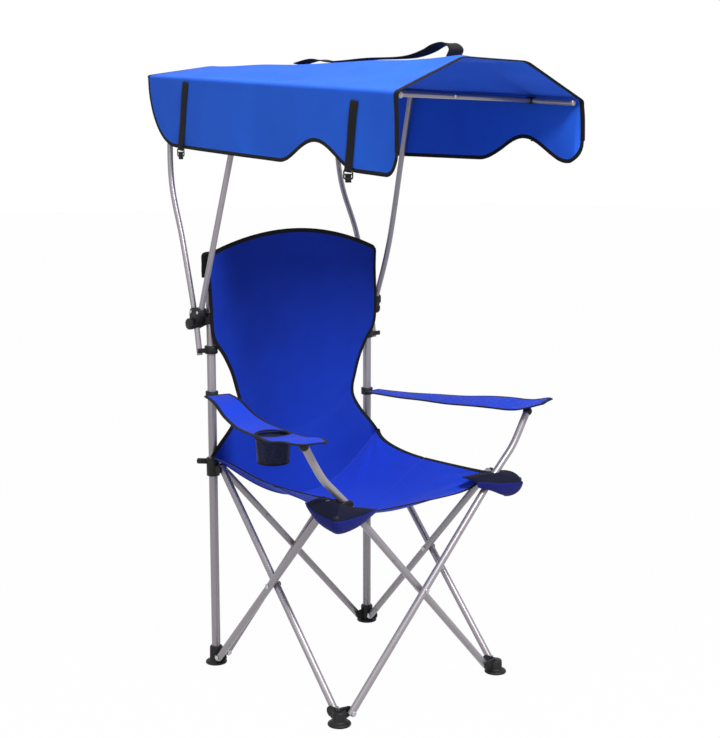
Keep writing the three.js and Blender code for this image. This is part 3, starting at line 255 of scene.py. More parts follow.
class Wire:
    """A value socket of a material. Arithmetic on it adds the Math nodes."""

    def __init__(self, tree, socket):
        self.tree = tree
        self.socket = socket

    def _sum(self, operation, *terms):
        node = add_node(self.tree, "ShaderNodeMath", {"operation": operation})
        for socket, term in zip(node.inputs, terms):
            feed(self.tree, socket, term)
        return Wire(self.tree, node.outputs[0])

    def __add__(self, other):
        return self._sum("ADD", self, other)

    def __radd__(self, other):
        return self._sum("ADD", other, self)

    def __sub__(self, other):
        return self._sum("SUBTRACT", self, other)

    def __rsub__(self, other):
        return self._sum("SUBTRACT", other, self)

    def __mul__(self, other):
        return self._sum("MULTIPLY", self, other)

    def __rmul__(self, other):
        return self._sum("MULTIPLY", other, self)

    def sine(self):
        return self._sum("SINE", self)

    def size(self):
        return self._sum("ABSOLUTE", self)

    def or_more(self, other):
        return self._sum("MAXIMUM", self, other)

    def between(self, low, high):
        """0 below low, 1 above high, and 3t^2 - 2t^3 between."""
        node = add_node(self.tree, "ShaderNodeMapRange", {"interpolation_type": "SMOOTHSTEP"}, Value=self,
                        From_Min=low, From_Max=high)
        return Wire(self.tree, node.outputs[0])


class Finish:
    """A material under construction: one Principled shader and what feeds it."""

    def __init__(self, name, **constants):
        self.material = bpy.data.materials.new(name)
        self.material.use_nodes = True
        self.tree = self.material.node_tree
        self.shader = self.tree.nodes["Principled BSDF"]
        self.set(**constants)

    def set(self, **feeds):
        for key, value in feeds.items():
            feed(self.tree, self.shader.inputs[key.replace("_", " ")], value)
        return self.material

    def node(self, kind, settings=None, **feeds):
        return add_node(self.tree, kind, settings, **feeds)

    def lengths(self):
        """The two running lengths of the piece's own UV map, in metres."""
        where = self.node("ShaderNodeUVMap", {"uv_map": "lengths"}).outputs[0]
        split = self.node("ShaderNodeSeparateXYZ", Vector=where)
        return Wire(self.tree, split.outputs[0]), Wire(self.tree, split.outputs[1])

    def waves(self, pitch, share=1.0):
        """Sine waves along both lengths: sin(2 pi share u / pitch) and sin(2 pi v / pitch)."""
        u, v = self.lengths()
        turns = 2 * math.pi / pitch
        return (u * (turns * share)).sine(), (v * turns).sine()

    def noise(self, scale, detail, roughness=0.5, stretch=(1, 1, 1), on=None):
        on = on or self.node("ShaderNodeTexCoord").outputs["Object"]
        where = self.node("ShaderNodeMapping", Vector=on, Scale=stretch).outputs[0]
        made = self.node("ShaderNodeTexNoise", Vector=where, Scale=scale, Detail=detail, Roughness=roughness)
        return Wire(self.tree, made.outputs[0])

    def blend(self, share, one, two):
        """one where share is 0, two where it is 1; each is a socket or a display colour."""
        made = self.node("ShaderNodeMix", {"data_type": "RGBA", "clamp_factor": True}, Factor=share)
        for socket, colour in ((made.inputs[6], one), (made.inputs[7], two)):
            feed(self.tree, socket, rgb(*colour) if isinstance(colour, tuple) else colour)
        return made.outputs[2]

    def bump(self, height, distance, strength):
        made = self.node("ShaderNodeBump", Strength=strength, Distance=distance, Height=height)
        self.set(Normal=made.outputs[0])


def rgb(red, green, blue):
    """A display colour (0 to 255) as the linear colour that shaders take."""
    c = np.array([red, green, blue]) / 255
    return (*np.where(c <= 0.04045, c / 12.92, ((c + 0.055) / 1.055) ** 2.4), 1.0)


def woven_cloth(name, colour, dark, sheen):
    """Plain-woven coated polyester: two sets of threads as crossing sine ridges, a slight mottle in the dye,
    a few slack threads, and a dull sheen."""
    made = Finish(name, Sheen_Weight=sheen, Sheen_Roughness=0.45, Specular_IOR_Level=0.2)
    warp, weft = made.waves(0.0011)
    threads = warp * weft
    slubs = made.noise(900, 2, stretch=(1, 1, 0.05))
    mottle = made.noise(11, 4, 0.6)
    clouds = made.noise(2.2, 2, 0.5)
    share = (mottle - 0.5) * 0.5 + (clouds - 0.5) * 0.7 + threads * 0.06 + (slubs - 0.5) * 0.2 + 0.3
    made.bump(threads * 0.5 + slubs * 0.6, 0.00016, 0.55)
    return made.set(Base_Color=made.blend(share, colour, dark), Roughness=0.78 + (mottle - 0.5) * 0.16)


def ribbed_tape(name, colour, pale, pitch):
    """Woven edge tape and webbing: fine ribs across the run, rubbed paler on the high threads."""
    made = Finish(name, Sheen_Weight=0.04, Sheen_Roughness=0.5, Specular_IOR_Level=0.2)
    cords, ribs = made.waves(pitch, 0.8)
    rub = made.noise(60, 3, 0.6).between(0.5, 0.8)
    made.bump(ribs * 0.6 + cords * 0.3, 0.00018, 0.7)
    return made.set(Base_Color=made.blend(rub * 0.5 + ribs * 0.08 + 0.08, colour, pale), Roughness=0.86)


def tube_enamel(name):
    """Grey enamelled steel: fine orange peel, faint drawn streaks along the tube, and small dull scuffs."""
    made = Finish(name, Metallic=0.55, Specular_IOR_Level=0.5, Coat_Weight=0.12, Coat_Roughness=0.3)
    u, v = made.lengths()
    across = made.node("ShaderNodeCombineXYZ", X=u * 420, Y=v * 3.0).outputs[0]
    streaks = made.noise(1.0, 2, 0.5, on=across)
    peel = made.noise(300, 1, 0.4)
    scuffs = made.noise(38, 5, 0.65).between(0.62, 0.72)
    made.bump(peel * 0.7 + scuffs * -0.4, 0.00004, 0.15)
    tone = made.blend((streaks - 0.35) * 0.55, (152, 147, 152), (116, 112, 118))
    tone = made.blend(scuffs * 0.45, tone, (92, 90, 94))
    return made.set(Base_Color=tone, Roughness=0.36 + (streaks - 0.5) * 0.14 + scuffs * 0.2)


def moulded_plastic(name):
    """Injection-moulded nylon: spark-eroded grain, rubbed patches that are a little paler and shinier."""
    made = Finish(name, Specular_IOR_Level=0.3)
    grain = made.noise(1400, 2, 0.55)
    rub = made.noise(55, 4, 0.6).between(0.52, 0.74)
    made.bump(grain, 0.00008, 0.5)
    tone = made.blend(rub * 0.6, (14, 14, 16), (30, 30, 33))
    return made.set(Base_Color=tone, Roughness=0.56 - rub * 0.14 + (grain - 0.5) * 0.1)


def plated_steel(name):
    """Bright zinc on rivets and pin heads, with a soft cloudy patina and fine scratches."""
    made = Finish(name, Metallic=1.0)
    cloud = made.noise(120, 4, 0.6)
    scratch = made.noise(500, 2, 0.5, stretch=(1, 0.05, 1))
    made.bump(scratch, 0.00004, 0.4)
    return made.set(Base_Color=made.blend(cloud, (205, 205, 210), (150, 150, 152)), Roughness=0.22 + cloud * 0.25)


def open_net(name):
    """Knitted net of the cup holder: rows of small round holes, staggered, between raised dark threads."""
    made = Finish(name, Specular_IOR_Level=0.3, Sheen_Weight=0.2)
    across, along = made.waves(0.0034)
    knots = across * along
    thread = knots.size().between(0.02, 0.5)
    fuzz = made.noise(300, 2)
    made.bump(knots.size() * -1 + fuzz * 0.3, 0.0003, 0.6)
    colour = made.blend(fuzz, (20, 24, 48), (38, 44, 74))
    return made.set(Base_Color=colour, Roughness=0.85, Alpha=1.0 - thread * 0.55)


CLOTH = woven_cloth("seat_cloth", (18, 64, 210), (10, 42, 162), 0.08)
# The back's cloth is the seat's fabric in darker colours: painted shade of the canopy's shadow on the back.
SHADED_BACK_CLOTH = woven_cloth("back_cloth_painted_shade", (12, 55, 178), (7, 35, 132), 0.05)
# The canopy's cloth is the seat's fabric in paler colours: painted light of the lamps above on the roof.
LIT_CANOPY_CLOTH = woven_cloth("canopy_cloth", (36, 104, 230), (25, 81, 208), 0.06)
POCKET_CLOTH = woven_cloth("pocket_cloth", (16, 26, 120), (9, 15, 78), 0.05)
# The pockets' lining is near-black: painted shade in the pockets' dark insides, over the hubs.
SHADE_LINING = woven_cloth("pocket_lining_painted_shade", (7, 10, 38), (4, 6, 24), 0.0)
EDGE_TAPE = ribbed_tape("edge_tape", (8, 8, 12), (20, 20, 28), 0.0016)
WEBBING = ribbed_tape("black_webbing", (12, 12, 15), (34, 34, 39), 0.0024)
ENAMEL = tube_enamel("grey_enamel")
PLASTIC = moulded_plastic("black_nylon")
ZINC = plated_steel("zinc_plate")
NET = open_net("cup_net")


def dress(piece, material, body, replaced=(), squash=None):
    """Gives a finished piece its material and its body, and hides the nodes it stands for; with squash the piece gets
    a mesh of its own.
    """
    piece.data.materials.clear()
    piece.data.materials.append(material)
    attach(piece, body)
    if replaced:
        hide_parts(*replaced)
    if squash:
        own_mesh(piece)
    return piece


def plastic(piece, body, node):
    """A piece of black nylon."""
    dress(piece, PLASTIC, body, [node])


def plated(piece, body, node):
    """A rivet or a pin head."""
    dress(piece, ZINC, body, [node])


# Shared makers of pieces

TAPE_SINK = 0.0008
FOLD_ACROSS = dict(axis=LEFT, anchor=(-HALF, 0, 0), keep=0.2435)
CANOPY_ACROSS = dict(axis=LEFT, anchor=(-CANOPY_HALF, 0, 0), keep=0.3176)


def side_point(k, x, y, z):
    """A point given along side k of the frame: x runs from the side's first corner, y inwards; side 0 is the
    front, and each next side is a quarter turn on."""
    a, b = x - HALF, y - HALF
    turn = ((a, b), (-b, a), (-a, -b), (b, -a))[k]
    return np.array([*turn, z])


def side_vector(k, x, y, z=0.0):
    """A direction given along side k of the frame."""
    return side_point(k, x + HALF, y + HALF, z)


def quadratic(start, control, end, t):
    """The curve (1 - t)^2 start + 2 t (1 - t) control + t^2 end."""
    return (1 - t) ** 2 * start + 2 * t * (1 - t) * control + t**2 * end


def rounded(low, high, radius, steps=6):
    """A rectangle from low to high, its corners cut to quadratic curves that start radius away from each."""
    p = np.array([low, (high[0], low[1]), high, (low[0], high[1])])
    t = np.linspace(0, 1, steps)[:, None]
    line = []
    for before, at, after in zip(np.roll(p, 1, 0), p, np.roll(p, -1, 0)):
        a, b = (at + normed(to - at) * min(radius, np.linalg.norm(to - at) * 0.49) for to in (before, after))
        line.append(quadratic(a, at, b, t))
    return np.vstack(line)


def on_circle(centre, radius, angle, *height):
    """Points at angles round a centre, and at a height where one is given; radius and height may vary."""
    return coords(centre[0] + radius * np.cos(angle), centre[1] + radius * np.sin(angle), *height)


def arc(centre, radius, start, end, count=17):
    """Points on a circle from one angle in degrees to another."""
    return on_circle(centre, radius, np.radians(np.linspace(start, end, count)))


def slab(name, outline, origin, right, up, thickness, edge=0.0008):
    """A moulded plate: an outline in (right, up) carried through its thickness along right x up, from the
    plate's middle, with its rims cut back by edge and both faces closed to the outline's centre."""
    outline = np.asarray(outline, float)
    right, up = np.asarray(right, float), np.asarray(up, float)
    through = np.cross(right, up)
    centre = outline.mean(axis=0)
    arm = outline - centre
    reach = np.linalg.norm(arm, axis=1).mean()
    half = thickness / 2
    cut, corner = 1 - edge / reach, 1 - 0.3 * edge / reach
    lower = [(0.0, -half), (0.6, -half), (cut, -half), (corner, -half + 0.3 * edge), (1.0, -half + edge)]
    upper = [(share, -height) for share, height in lower[::-1]]
    share, height = np.array(lower + upper).T
    flat = centre + arm[None] * share[:, None, None]
    grid = origin + flat[..., :1] * right + flat[..., 1:] * up + height[:, None, None] * through
    return turned_outwards(mesh_from_grid(name, grid, True))


def tube(name, points, radius, reference, body, sides=28):
    """An enamelled tube with closed ends, in place of the node of the same name."""
    path, sizes = with_ends(points, radius)
    dress(swept(f"{name}_smooth", path, sizes, reference, sides), ENAMEL, body, [name])


def ring(name, base, axis, outer, bore, height, edge=0.0009, sides=48):
    """A collar: its section is a rectangle with cut corners, carried round the axis."""
    profile = [(bore, edge), (bore + edge, 0), (outer - edge, 0), (outer, edge), (outer, height - edge)]
    profile += [(outer - edge, height), (bore + edge, height), (bore, height - edge), (bore, edge)]
    return turned(name, profile, base, axis, sides)


def domed(radius, low, high, count):
    """A peg's profile: straight up to low, then a quarter ellipse that closes at high."""
    angle = np.radians(np.linspace(0, 90, count))
    return [(0, 0), (radius, 0)] + [(radius * math.cos(a), low + (high - low) * math.sin(a)) for a in angle]


def dome(name, base, axis, radius=0.006, rise=0.0024):
    """A rivet head: a quarter ellipse carried round its axis, on a short straight rim."""
    return turned(name, domed(radius, 0.25 * rise, rise, 9), base, axis, 28)


def flat_tape(name, line, normal, width, thickness, body, replaced=(), squash=None, material=EDGE_TAPE):
    """Tape along a line: an ellipse of the tape's width and thickness stands square to the line, its short
    axis along the cloth's normal."""
    line = np.asarray(line, float)
    normal = np.broadcast_to(np.asarray(normal, float), line.shape)
    apart = np.concatenate([[True], np.linalg.norm(np.diff(line, axis=0), axis=1) > 1e-6])
    line, normal = (np.vstack([p[:1], p, p[-1:]]) for p in (line[apart], normal[apart]))
    sizes = np.full(len(line), width / 2)
    sizes[[0, -1]] = 0
    tape = swept(name, line, sizes, normal, 12, (1.0, thickness / width))
    return dress(tape, material, body, replaced, squash)


def cloth(name, grid, body, material, replaced=(), squash=None, thickness=0.0016, uv=None,
          closed=False):
    """A sheet of cloth: its grid is the outer face, and the cloth's thickness lies behind it."""
    piece = mesh_from_grid(name, grid, closed, uv)
    solid = piece.modifiers.new("thickness", "SOLIDIFY")
    solid.thickness = thickness
    solid.offset = -1
    even = piece.modifiers.new("even_normals", "WEIGHTED_NORMAL")
    even.weight = 80
    return dress(piece, material, body, replaced, squash)


def declare(grid, with_pieces=(), flat=None):
    """Works out a cloth's flat size, its grid's longest row and longest column where no other is given, and its area,
    that of its grid and never more than the flat size holds; it keeps and declares nothing."""
    rows, columns = (np.linalg.norm(np.diff(grid, axis=a), axis=2).sum(axis=a).max() for a in (1, 0))
    flat = flat or (float(rows), float(columns))
    one, two = grid[1:, 1:] - grid[:-1, :-1], grid[1:, :-1] - grid[:-1, 1:]
    area = min(float(np.linalg.norm(np.cross(one, two), axis=2).sum() / 2), flat[0] * flat[1])


def bind(name, grid, edges, body, squash, width=0.010, inset=0.0035, material=EDGE_TAPE):
    """Edge tape along the named edges of a cloth: it runs inset from the edge, sunk a little into the cloth."""
    made = []
    for which in edges:
        axis = 1 if which in ("left", "right") else 0
        at, inwards = (0, 1) if which in ("left", "first") else (-1, -2)
        here, normal = np.take(grid, at, axis), np.take(grid_normals(grid), at, axis)
        line = here + normed(np.take(grid, inwards, axis) - here) * inset - normal * TAPE_SINK
        made.append(flat_tape(f"{name}_binding_{which}", line, normal, width, 0.0028, body, (), squash, material))
    return made


# Frame tubes and their rivets

SIDE_BODIES = ("front", "left", "back", "right")
SLANT = normed(np.array([FAR_PIN - PIN_INSET, 0, SEAT_PIN_Z - FOOT_PIN_Z]))

for k, side in enumerate(SIDE_BODIES):
    for kind, sign in (("outer", 1.0), ("inner", -1.0)):
        foot_x, top_x = (PIN_INSET, FAR_PIN) if sign > 0 else (FAR_PIN, PIN_INSET)
        along = SLANT * (sign, 1, 1)
        start = np.array([foot_x, -sign * CROSS_OFFSET, FOOT_PIN_Z]) - along * OVERRUN
        top = np.array([top_x, -sign * CROSS_OFFSET, SEAT_PIN_Z])
        end = [top + along * OVERRUN]
        if side == "front":
            end = curve_through([top + (sign * out, 0, rise) for out, rise in POST], 12)
        points = [side_point(k, *p) for p in np.vstack([start, (start + top) / 2, end])]
        tube(f"{side}_{kind}_tube", points, CROSS_R, side_vector(k, 0, 1), f"{side}_{kind}")
    for end, sign in (("outside", -1.0), ("inside", 1.0)):
        at = side_point(k, HALF, sign * CROSS_REACH, (SEAT_PIN_Z + FOOT_PIN_Z) / 2)
        plated(dome(f"{side}_rivet_{end}", at, side_vector(k, 0, sign)), f"{side}_outer", f"{side}_crossing_rivet")

for name, sign in SIDES:
    ends = [(sign * HALF, HALF, UPRIGHT_FOOT), (sign * HALF, HALF, UPRIGHT_TOP)]
    tube(f"upright_{name}", ends, UPRIGHT_R, REAR, f"rear_{name}_leg", 32)

# Feet, front hubs and sliders: moulded parts at each corner, with plated pin heads

CORNERS = ("front_right", "front_left", "rear_left", "rear_right")
FOOT_PROFILE = [(0, 0), (0.0225, 0), (0.0243, 0.0008), (0.025, 0.0026), (0.0243, 0.0048), (0.0222, 0.0066)]
FOOT_PROFILE += [(0.0185, 0.0076), (0.0162, 0.0092), (0.0152, 0.0118)]
FRONT_CUP = [(0.0148, 0.0275), (0.0132, 0.030), (0, 0.030)]
REAR_CUP = [(0.0148, 0.0385), (0.0135, 0.041), (0.0103, 0.041), (0.0103, 0.0355), (0, 0.0355)]
HUB_POST = [(0, 0), (0.0095, 0), (0.011, 0.0015), (0.011, 0.0185), (0.0095, 0.020), (0, 0.020)]
HUB_BOTTOM = SEAT_PIN_Z - 0.018
EAR_THICKNESS = 0.005
EAR_ROOT = 0.004
COLLAR_R = 0.015


def corner_ears(k, node, body, pin_z, radius, bottom, top, inner):
    """Two ears, each from the corner's axis out to a half circle about its pin, and two plated pin heads. Along
    the side that starts at corner k the tube runs outside the ear; along the side that ends there it runs
    inside. inner moves both ears off the corner's own axes."""
    outline = np.vstack([[(EAR_ROOT, bottom)], arc((PIN_INSET, pin_z), radius, -90, 90), [(EAR_ROOT, top)]])
    head_out = EAR_THICKNESS / 2 + CROSS_REACH
    for label, side, sign in (("a", k, 1.0), ("b", (k + 3) % 4, -1.0)):
        mirrored = outline if sign > 0 else outline * (-1, 1) + (2 * HALF, 0)
        middle = inner * EAR_THICKNESS / 2 * sign
        origin = side_point(side, 0, middle, 0)
        plate = slab(f"{node}_ear_{label}", mirrored, origin, side_vector(side, 1, 0), UP, EAR_THICKNESS)
        plastic(plate, body, node)
        way = -sign * inner
        at = side_point(side, PIN_INSET if sign > 0 else FAR_PIN, middle + way * head_out, pin_z)
        plated(dome(f"{node}_pin_{label}", at, side_vector(side, 0, way), rise=0.0022), body, node)


def horn(node, body, k, z, reach, radius):
    """A round peg with a domed tip that points out from the corner."""
    corner = side_point(k, 0, 0, z)
    profile = domed(radius, reach - 0.6 * radius, reach, 8)
    plastic(turned(f"{node}_peg", profile, corner, corner * (1, 1, 0), 32), body, node)


def collar(node, body, base, outer, bore, height, edge=0.0009):
    """A collar round an upright tube, from base up."""
    plastic(ring(f"{node}_collar", base, UP, outer, bore, height, edge), body, node)


for k, corner in enumerate(CORNERS):
    is_rear = k >= 2
    base = side_point(k, 0, 0, 0)
    node = f"foot_{corner}"
    body = f"{corner}_leg" if is_rear else f"{corner}_foot"
    profile = FOOT_PROFILE + (REAR_CUP if is_rear else FRONT_CUP)
    plastic(turned(f"{node}_cup", profile, base, UP, 64), body, node)
    corner_ears(k, node, body, FOOT_PIN_Z, radius=0.011, bottom=0.003, top=0.035, inner=1)
    if is_rear:
        node, body = f"slider_{corner}", f"{corner}_slider"
        collar(node, body, base + (0, 0, HUB_BOTTOM), COLLAR_R, bore=0.0106, height=0.042)
        horn(node, body, k, SEAT_PIN_Z + 0.015, reach=0.038, radius=0.0065)
    else:
        node, body = f"hub_{corner}", f"{corner}_hub"
        plastic(turned(f"{node}_post", HUB_POST, base + (0, 0, HUB_BOTTOM), UP, 48), body, node)
        horn(node, body, k, SEAT_PIN_Z - 0.013, reach=0.0522, radius=0.006)
    corner_ears(k, node, body, SEAT_PIN_Z, radius=0.009, bottom=SEAT_PIN_Z - 0.014, top=SEAT_PIN_Z + 0.005, inner=-1)

# Arm posts' caps and the loops on the uprights

ARM_TOP_X = HALF - PIN_INSET + POST[-1][0]
ARM_REAR_Y = 0.211
ARM_RISES = {-1.0: np.array([25, 19, 0, -10, -12, -12, -10, 0, 2]) / 1000,
             1.0: np.array([-15, -14, -13, -10, -7, -3, 0, 3, 16]) / 1000}
CAP_R = 0.0105
CAP_SINK = 0.002
LOOP_HEIGHT = 0.017
TAB_THICKNESS = 0.0045
TAB_BELOW = 0.0033


def post_top(sign):
    return np.array([sign * ARM_TOP_X, -HALF - sign * CROSS_OFFSET, SEAT_PIN_Z + POST[-1][1]])


for name, sign in SIDES:
    node = f"arm_cap_{name}"
    cap = turned(f"{node}_ball", arc((0, 0), CAP_R, -90, 90, 25), post_top(sign) - (0, 0, CAP_SINK), UP, 40)
    plastic(cap, "front_inner" if name == "right" else "front_outer", node)
    node, body = f"arm_loop_{name}", f"{name}_arm_loop"
    tab_top = ARM_TOP + ARM_RISES[sign][0] - TAB_BELOW
    collar(node, body, (sign * HALF, HALF, tab_top - LOOP_HEIGHT / 2), 0.0145, 0.011, LOOP_HEIGHT)
    outline = rounded((-0.009, -0.022), (0.009, -0.0125), 0.003)
    origin = np.array([sign * HALF, HALF, tab_top - TAB_THICKNESS / 2])
    plastic(slab(f"{node}_tab", outline, origin, LEFT, REAR, TAB_THICKNESS), body, node)

# Seat in two halves

SEAT_DEPTH = 0.434
SEAT_GAP = 0.0005
SEAT_OVERLAP = 0.014
SEAT_EDGE = (0.501, 0.466, 0.473)
SEAT_SAG = (0.120, 0.085, 0.037)
SEAT_HALF = 0.220
SEAT_NARROWING = 0.013


def seat_at(u, v):
    """The seat at share u across and v along (1 at the crease, -1 in front): edge height and sag run as middle +
    (end - middle) v^2; it hangs as (1 - u^2)^1.25, and towards the taut front edge as 1 - u^6."""
    t = v * v
    bow = 1 - u * u
    hammock = np.maximum(bow, 0) ** 1.25

    def along(rear, middle, front):
        return np.where(v >= 0, middle + (rear - middle) * t, middle + (front - middle) * t)

    half = np.where(v >= 0, SEAT_HALF + 0.030 * t**3, SEAT_HALF - SEAT_NARROWING * t)
    hang = np.where(v >= 0, hammock, hammock + (1 - u**6 - hammock) * t * t)
    reach = np.where(v >= 0, 0.207 - 0.019 * bow, 0.219 - 0.004 * bow)
    return coords(u * half, v * reach, along(*SEAT_EDGE) - along(*SEAT_SAG) * hang)


def inside(u, v, across, along):
    """0 at the edges of a sheet whose shares run from -1 to 1, and 1 further in than the two distances."""
    return soft_step(1 - np.abs(u), 0, across) * soft_step(1 - np.abs(v), 0, along)


def seat_grid(u, v):
    """The seat's surface with shallow pulls towards the four corners it hangs from and a slight unevenness."""
    grid = seat_at(u, v)
    corner = np.hypot(1 - np.abs(u), 1 - np.abs(v))
    angle = np.arctan2(1 - np.abs(u), 1 - np.abs(v))
    rays = np.sin(angle * 13 + u * 2.0) * np.exp(-corner * 2.6) * soft_step(corner, 0.05, 0.35)
    grid[..., 2] += 0.0028 * rays * inside(u, v, 0.12, 0.12)
    grid[..., 2] += 0.0011 * ripple(grid[..., 0], grid[..., 1], 21, 12, 46, 9) * inside(u, v, 0.15, 0.15)
    return grid


across_shares = np.linspace(-1, 1, 97)
rear_v_shares = 1 - (1 - SEAT_GAP / SEAT_DEPTH) * np.linspace(1, 0, 61) ** 1.35
rear_u, rear_v = np.meshgrid(across_shares, rear_v_shares)
rear_grid = seat_grid(rear_u, rear_v)
front_grid = seat_grid(*np.meshgrid(across_shares, np.linspace(-1, SEAT_OVERLAP, 49)))
rear_grid[..., 2] -= 0.0019 * (1 - soft_step(rear_v, SEAT_OVERLAP, 0.06))
rear_grid[..., 1] += 0.0021 * soft_step(rear_v, 0.985, 1.0)
rear_seat = cloth("seat_rear_cloth", rear_grid, "rear_seat", CLOTH, ["seat_rear"], FOLD_ACROSS)
front_seat = cloth("seat_front_cloth", front_grid, "front_seat", CLOTH, ["seat_front"], FOLD_ACROSS)
rear_tapes = bind("seat_rear", rear_grid, ("left", "right"), "rear_seat", FOLD_ACROSS)
front_tapes = bind("seat_front", front_grid, ("left", "right", "first"), "front_seat", FOLD_ACROSS)
declare(rear_grid, rear_tapes)
declare(front_grid, front_tapes)

# Back panel

BACK_SHARES = np.array([0, 0.055, 0.13, 0.206, 0.265, 0.33, 0.417, 0.505, 0.573, 0.645, 0.815, 1.0])
BACK_WIDTHS = np.array([1.016, 0.93, 0.8, 0.705, 0.69, 0.722, 0.775, 0.86, 0.95, 0.985, 0.992, 1.0])
BACK_TOP_HALF = 0.246
BACK_TOP_Z = 0.955
BACK_ARCH = 0.051
BACK_BULGE = 0.024
BACK_Y = 0.210
BACK_STEP = 0.0054
BACK_BODY = "rear_right_leg"


def spline_at(values, t):
    """Uniform Catmull-Rom through evenly spaced values, as in a drawn outline, at shares t."""
    p = np.asarray(values, float)
    where = np.clip(np.asarray(t, float), 0, 1) * (len(p) - 1)
    i = np.minimum(where.astype(int), len(p) - 2)
    a, b, c, d = p[np.maximum(i - 1, 0)], p[i], p[i + 1], p[np.minimum(i + 2, len(p) - 1)]
    return cubic(b, c, (c - a) / 2, (d - b) / 2, where - i)


def back_at(u, v):
    """The back at share u across and v up: heights and half widths run along one spline; the top is arched by
    1 - u^2; the slack is (1 - u^2)^2 sin(pi v); the top corners are cut down a little."""
    crease = seat_at(u, np.ones_like(u))
    foot_z, foot_y = crease[..., 2] - 0.004, crease[..., 1] + 0.0012
    z = foot_z + (BACK_TOP_Z + BACK_ARCH * (1 - u * u) - foot_z) * spline_at(BACK_SHARES, v)
    upper_y = BACK_Y + BACK_STEP * np.clip((v - 0.865) / 0.08, 0, 1)
    y = foot_y + (upper_y - foot_y) * np.minimum(1, 3 * v) + BACK_BULGE * (1 - u * u) ** 2 * np.sin(np.pi * v)
    corner = np.clip((np.abs(u) - 0.955) / 0.045, 0, 1) * np.clip((v - 0.97) / 0.03, 0, 1)
    return coords(u * BACK_TOP_HALF * spline_at(BACK_WIDTHS, v), y, z - 0.010 * corner**2)


back_u, back_v = np.meshgrid(across_shares, np.linspace(0, 1, 121))
back_grid = back_at(back_u, back_v)
pull_in = np.abs(back_u) ** 6 * np.sin(back_v * math.pi) * np.sin(back_v * 41) * 0.0016
pucker = ripple(back_grid[..., 0], back_grid[..., 2], 12, 9, 34, 9) * 0.0022
rim = soft_step(1 - np.abs(back_u), 0, 0.2) * soft_step(back_v, 0, 0.08) * soft_step(1 - back_v, 0, 0.1)
back_grid[..., 1] += pull_in * rim + pucker * rim
# The back panel wears the darker copy of the seat fabric; its darkness is painted shade.
back = cloth("back_cloth_painted_shade", back_grid, BACK_BODY, SHADED_BACK_CLOTH, ["back_panel"], FOLD_ACROSS)
back_tapes = bind("back", back_grid, ("left", "right"), BACK_BODY, FOLD_ACROSS)
back_tapes += bind("back_top", back_grid, ("last",), BACK_BODY, FOLD_ACROSS, width=0.011, inset=0.004)

# Black pockets over the tops of the uprights

SLEEVE = [(0.0126, 0.904), (0.0130, 0.9036), (0.0134, 0.904), (0.0138, 0.918), (0.0134, 0.936), (0.0137, 0.950)]
SLEEVE += [(0.0130, 0.9540), (0.0110, 0.9580), (0.0070, 0.9602), (0.0030, 0.9611), (0, 0.9612)]
SLEEVE_INSIDE = [(0, 0.9596), (0.0060, 0.9588), (0.0100, 0.9566), (0.0122, 0.9530), (0.0124, 0.94), (0.0126, 0.904)]
SLEEVE_X = 0.2325
SLEEVE_STRETCH = 1.32
for name, sign in SIDES:
    sleeve = turned(f"back_pocket_{name}", SLEEVE + SLEEVE_INSIDE, (sign * HALF, HALF, 0), UP, 48)
    places = np.empty(3 * len(sleeve.data.vertices))
    sleeve.data.vertices.foreach_get("co", places)
    places[0::3] = sign * SLEEVE_X + (places[0::3] - sign * HALF) * SLEEVE_STRETCH
    sleeve.data.vertices.foreach_set("co", places)
    back_tapes.append(dress(sleeve, EDGE_TAPE, f"rear_{name}_leg", ["back_panel"]))
declare(back_grid, back_tapes)

# Pockets round the front hubs

POCKET_LINE = np.array([(-20, 86), (-33, 56), (-41, 22), (-43.5, -12), (-39, -39), (-12, -43.5), (22, -41), (56, -33),
                        (86, -20)]) / 1000
POCKET_RIM = np.array([463, 455, 449, 450, 453]) / 1000
POCKET_DEPTH = np.array([14, 31, 34, 30, 11]) / 1000
POCKET_TIP = 0.039
POCKET_KEEP = 0.55


def pocket_at(share, upward):
    """A hub's pocket in its own corner: a line round the outside of the hub, rounded inwards below like a small
    bowl that is deepest on the corner, sin(pi u)^1.3."""
    deep = np.sin(np.pi * share) ** 1.3
    under = np.pi / 2 * (1 - upward)
    inward = 1 - (0.10 + 0.62 * deep) * (1 - np.cos(under))
    folds = 1 + 0.012 * np.sin(share * 31 + upward * 2) * np.sin(np.pi * share) * (1 - upward) ** 0.7
    x, y = (spline_at(line, share) * inward * folds for line in POCKET_LINE.T)
    z = spline_at(POCKET_RIM, share) - spline_at(POCKET_DEPTH, share) * np.sin(under)
    return coords(x, y, z)


def lining_at(rim, share):
    """The cloth inside a pocket, near-black as painted shade of the pocket's dark inside: from under the rim up over
    the hub and in below the edge of the seat.
    """
    along = np.abs(share - 0.5) * 2
    inner = coords(0.020 + 0.066 * along, 0.016)
    inner = np.where((share < 0.5)[:, None], inner[:, ::-1] + (0.012, 0), inner)
    across = np.minimum((HALF - inner[:, 0]) / (SEAT_HALF - SEAT_NARROWING), 1.0)
    front_edge = SEAT_EDGE[2] - SEAT_SAG[2] * (1 - across**6) - 0.005
    edge = np.where(share < 0.5, 0.4665, front_edge)
    end = coords(*inner.T, edge)
    start = rim - (0, 0, 0.002)
    inwards = np.linspace(0, 1, 17)[:, None, None]
    over_hub = (0.018 * (1 - along**3))[None, :, None] * np.sin(np.pi * inwards**0.62)
    return start + (end - start) * inwards + over_hub * UP


def turned_to_corner(k, grid):
    """From a corner's own x and y, both towards the middle of the chair, to the chair's."""
    a, b = grid[..., 0] - HALF, grid[..., 1] - HALF
    return coords(*((a, b) if k == 0 else (-b, a)), grid[..., 2])


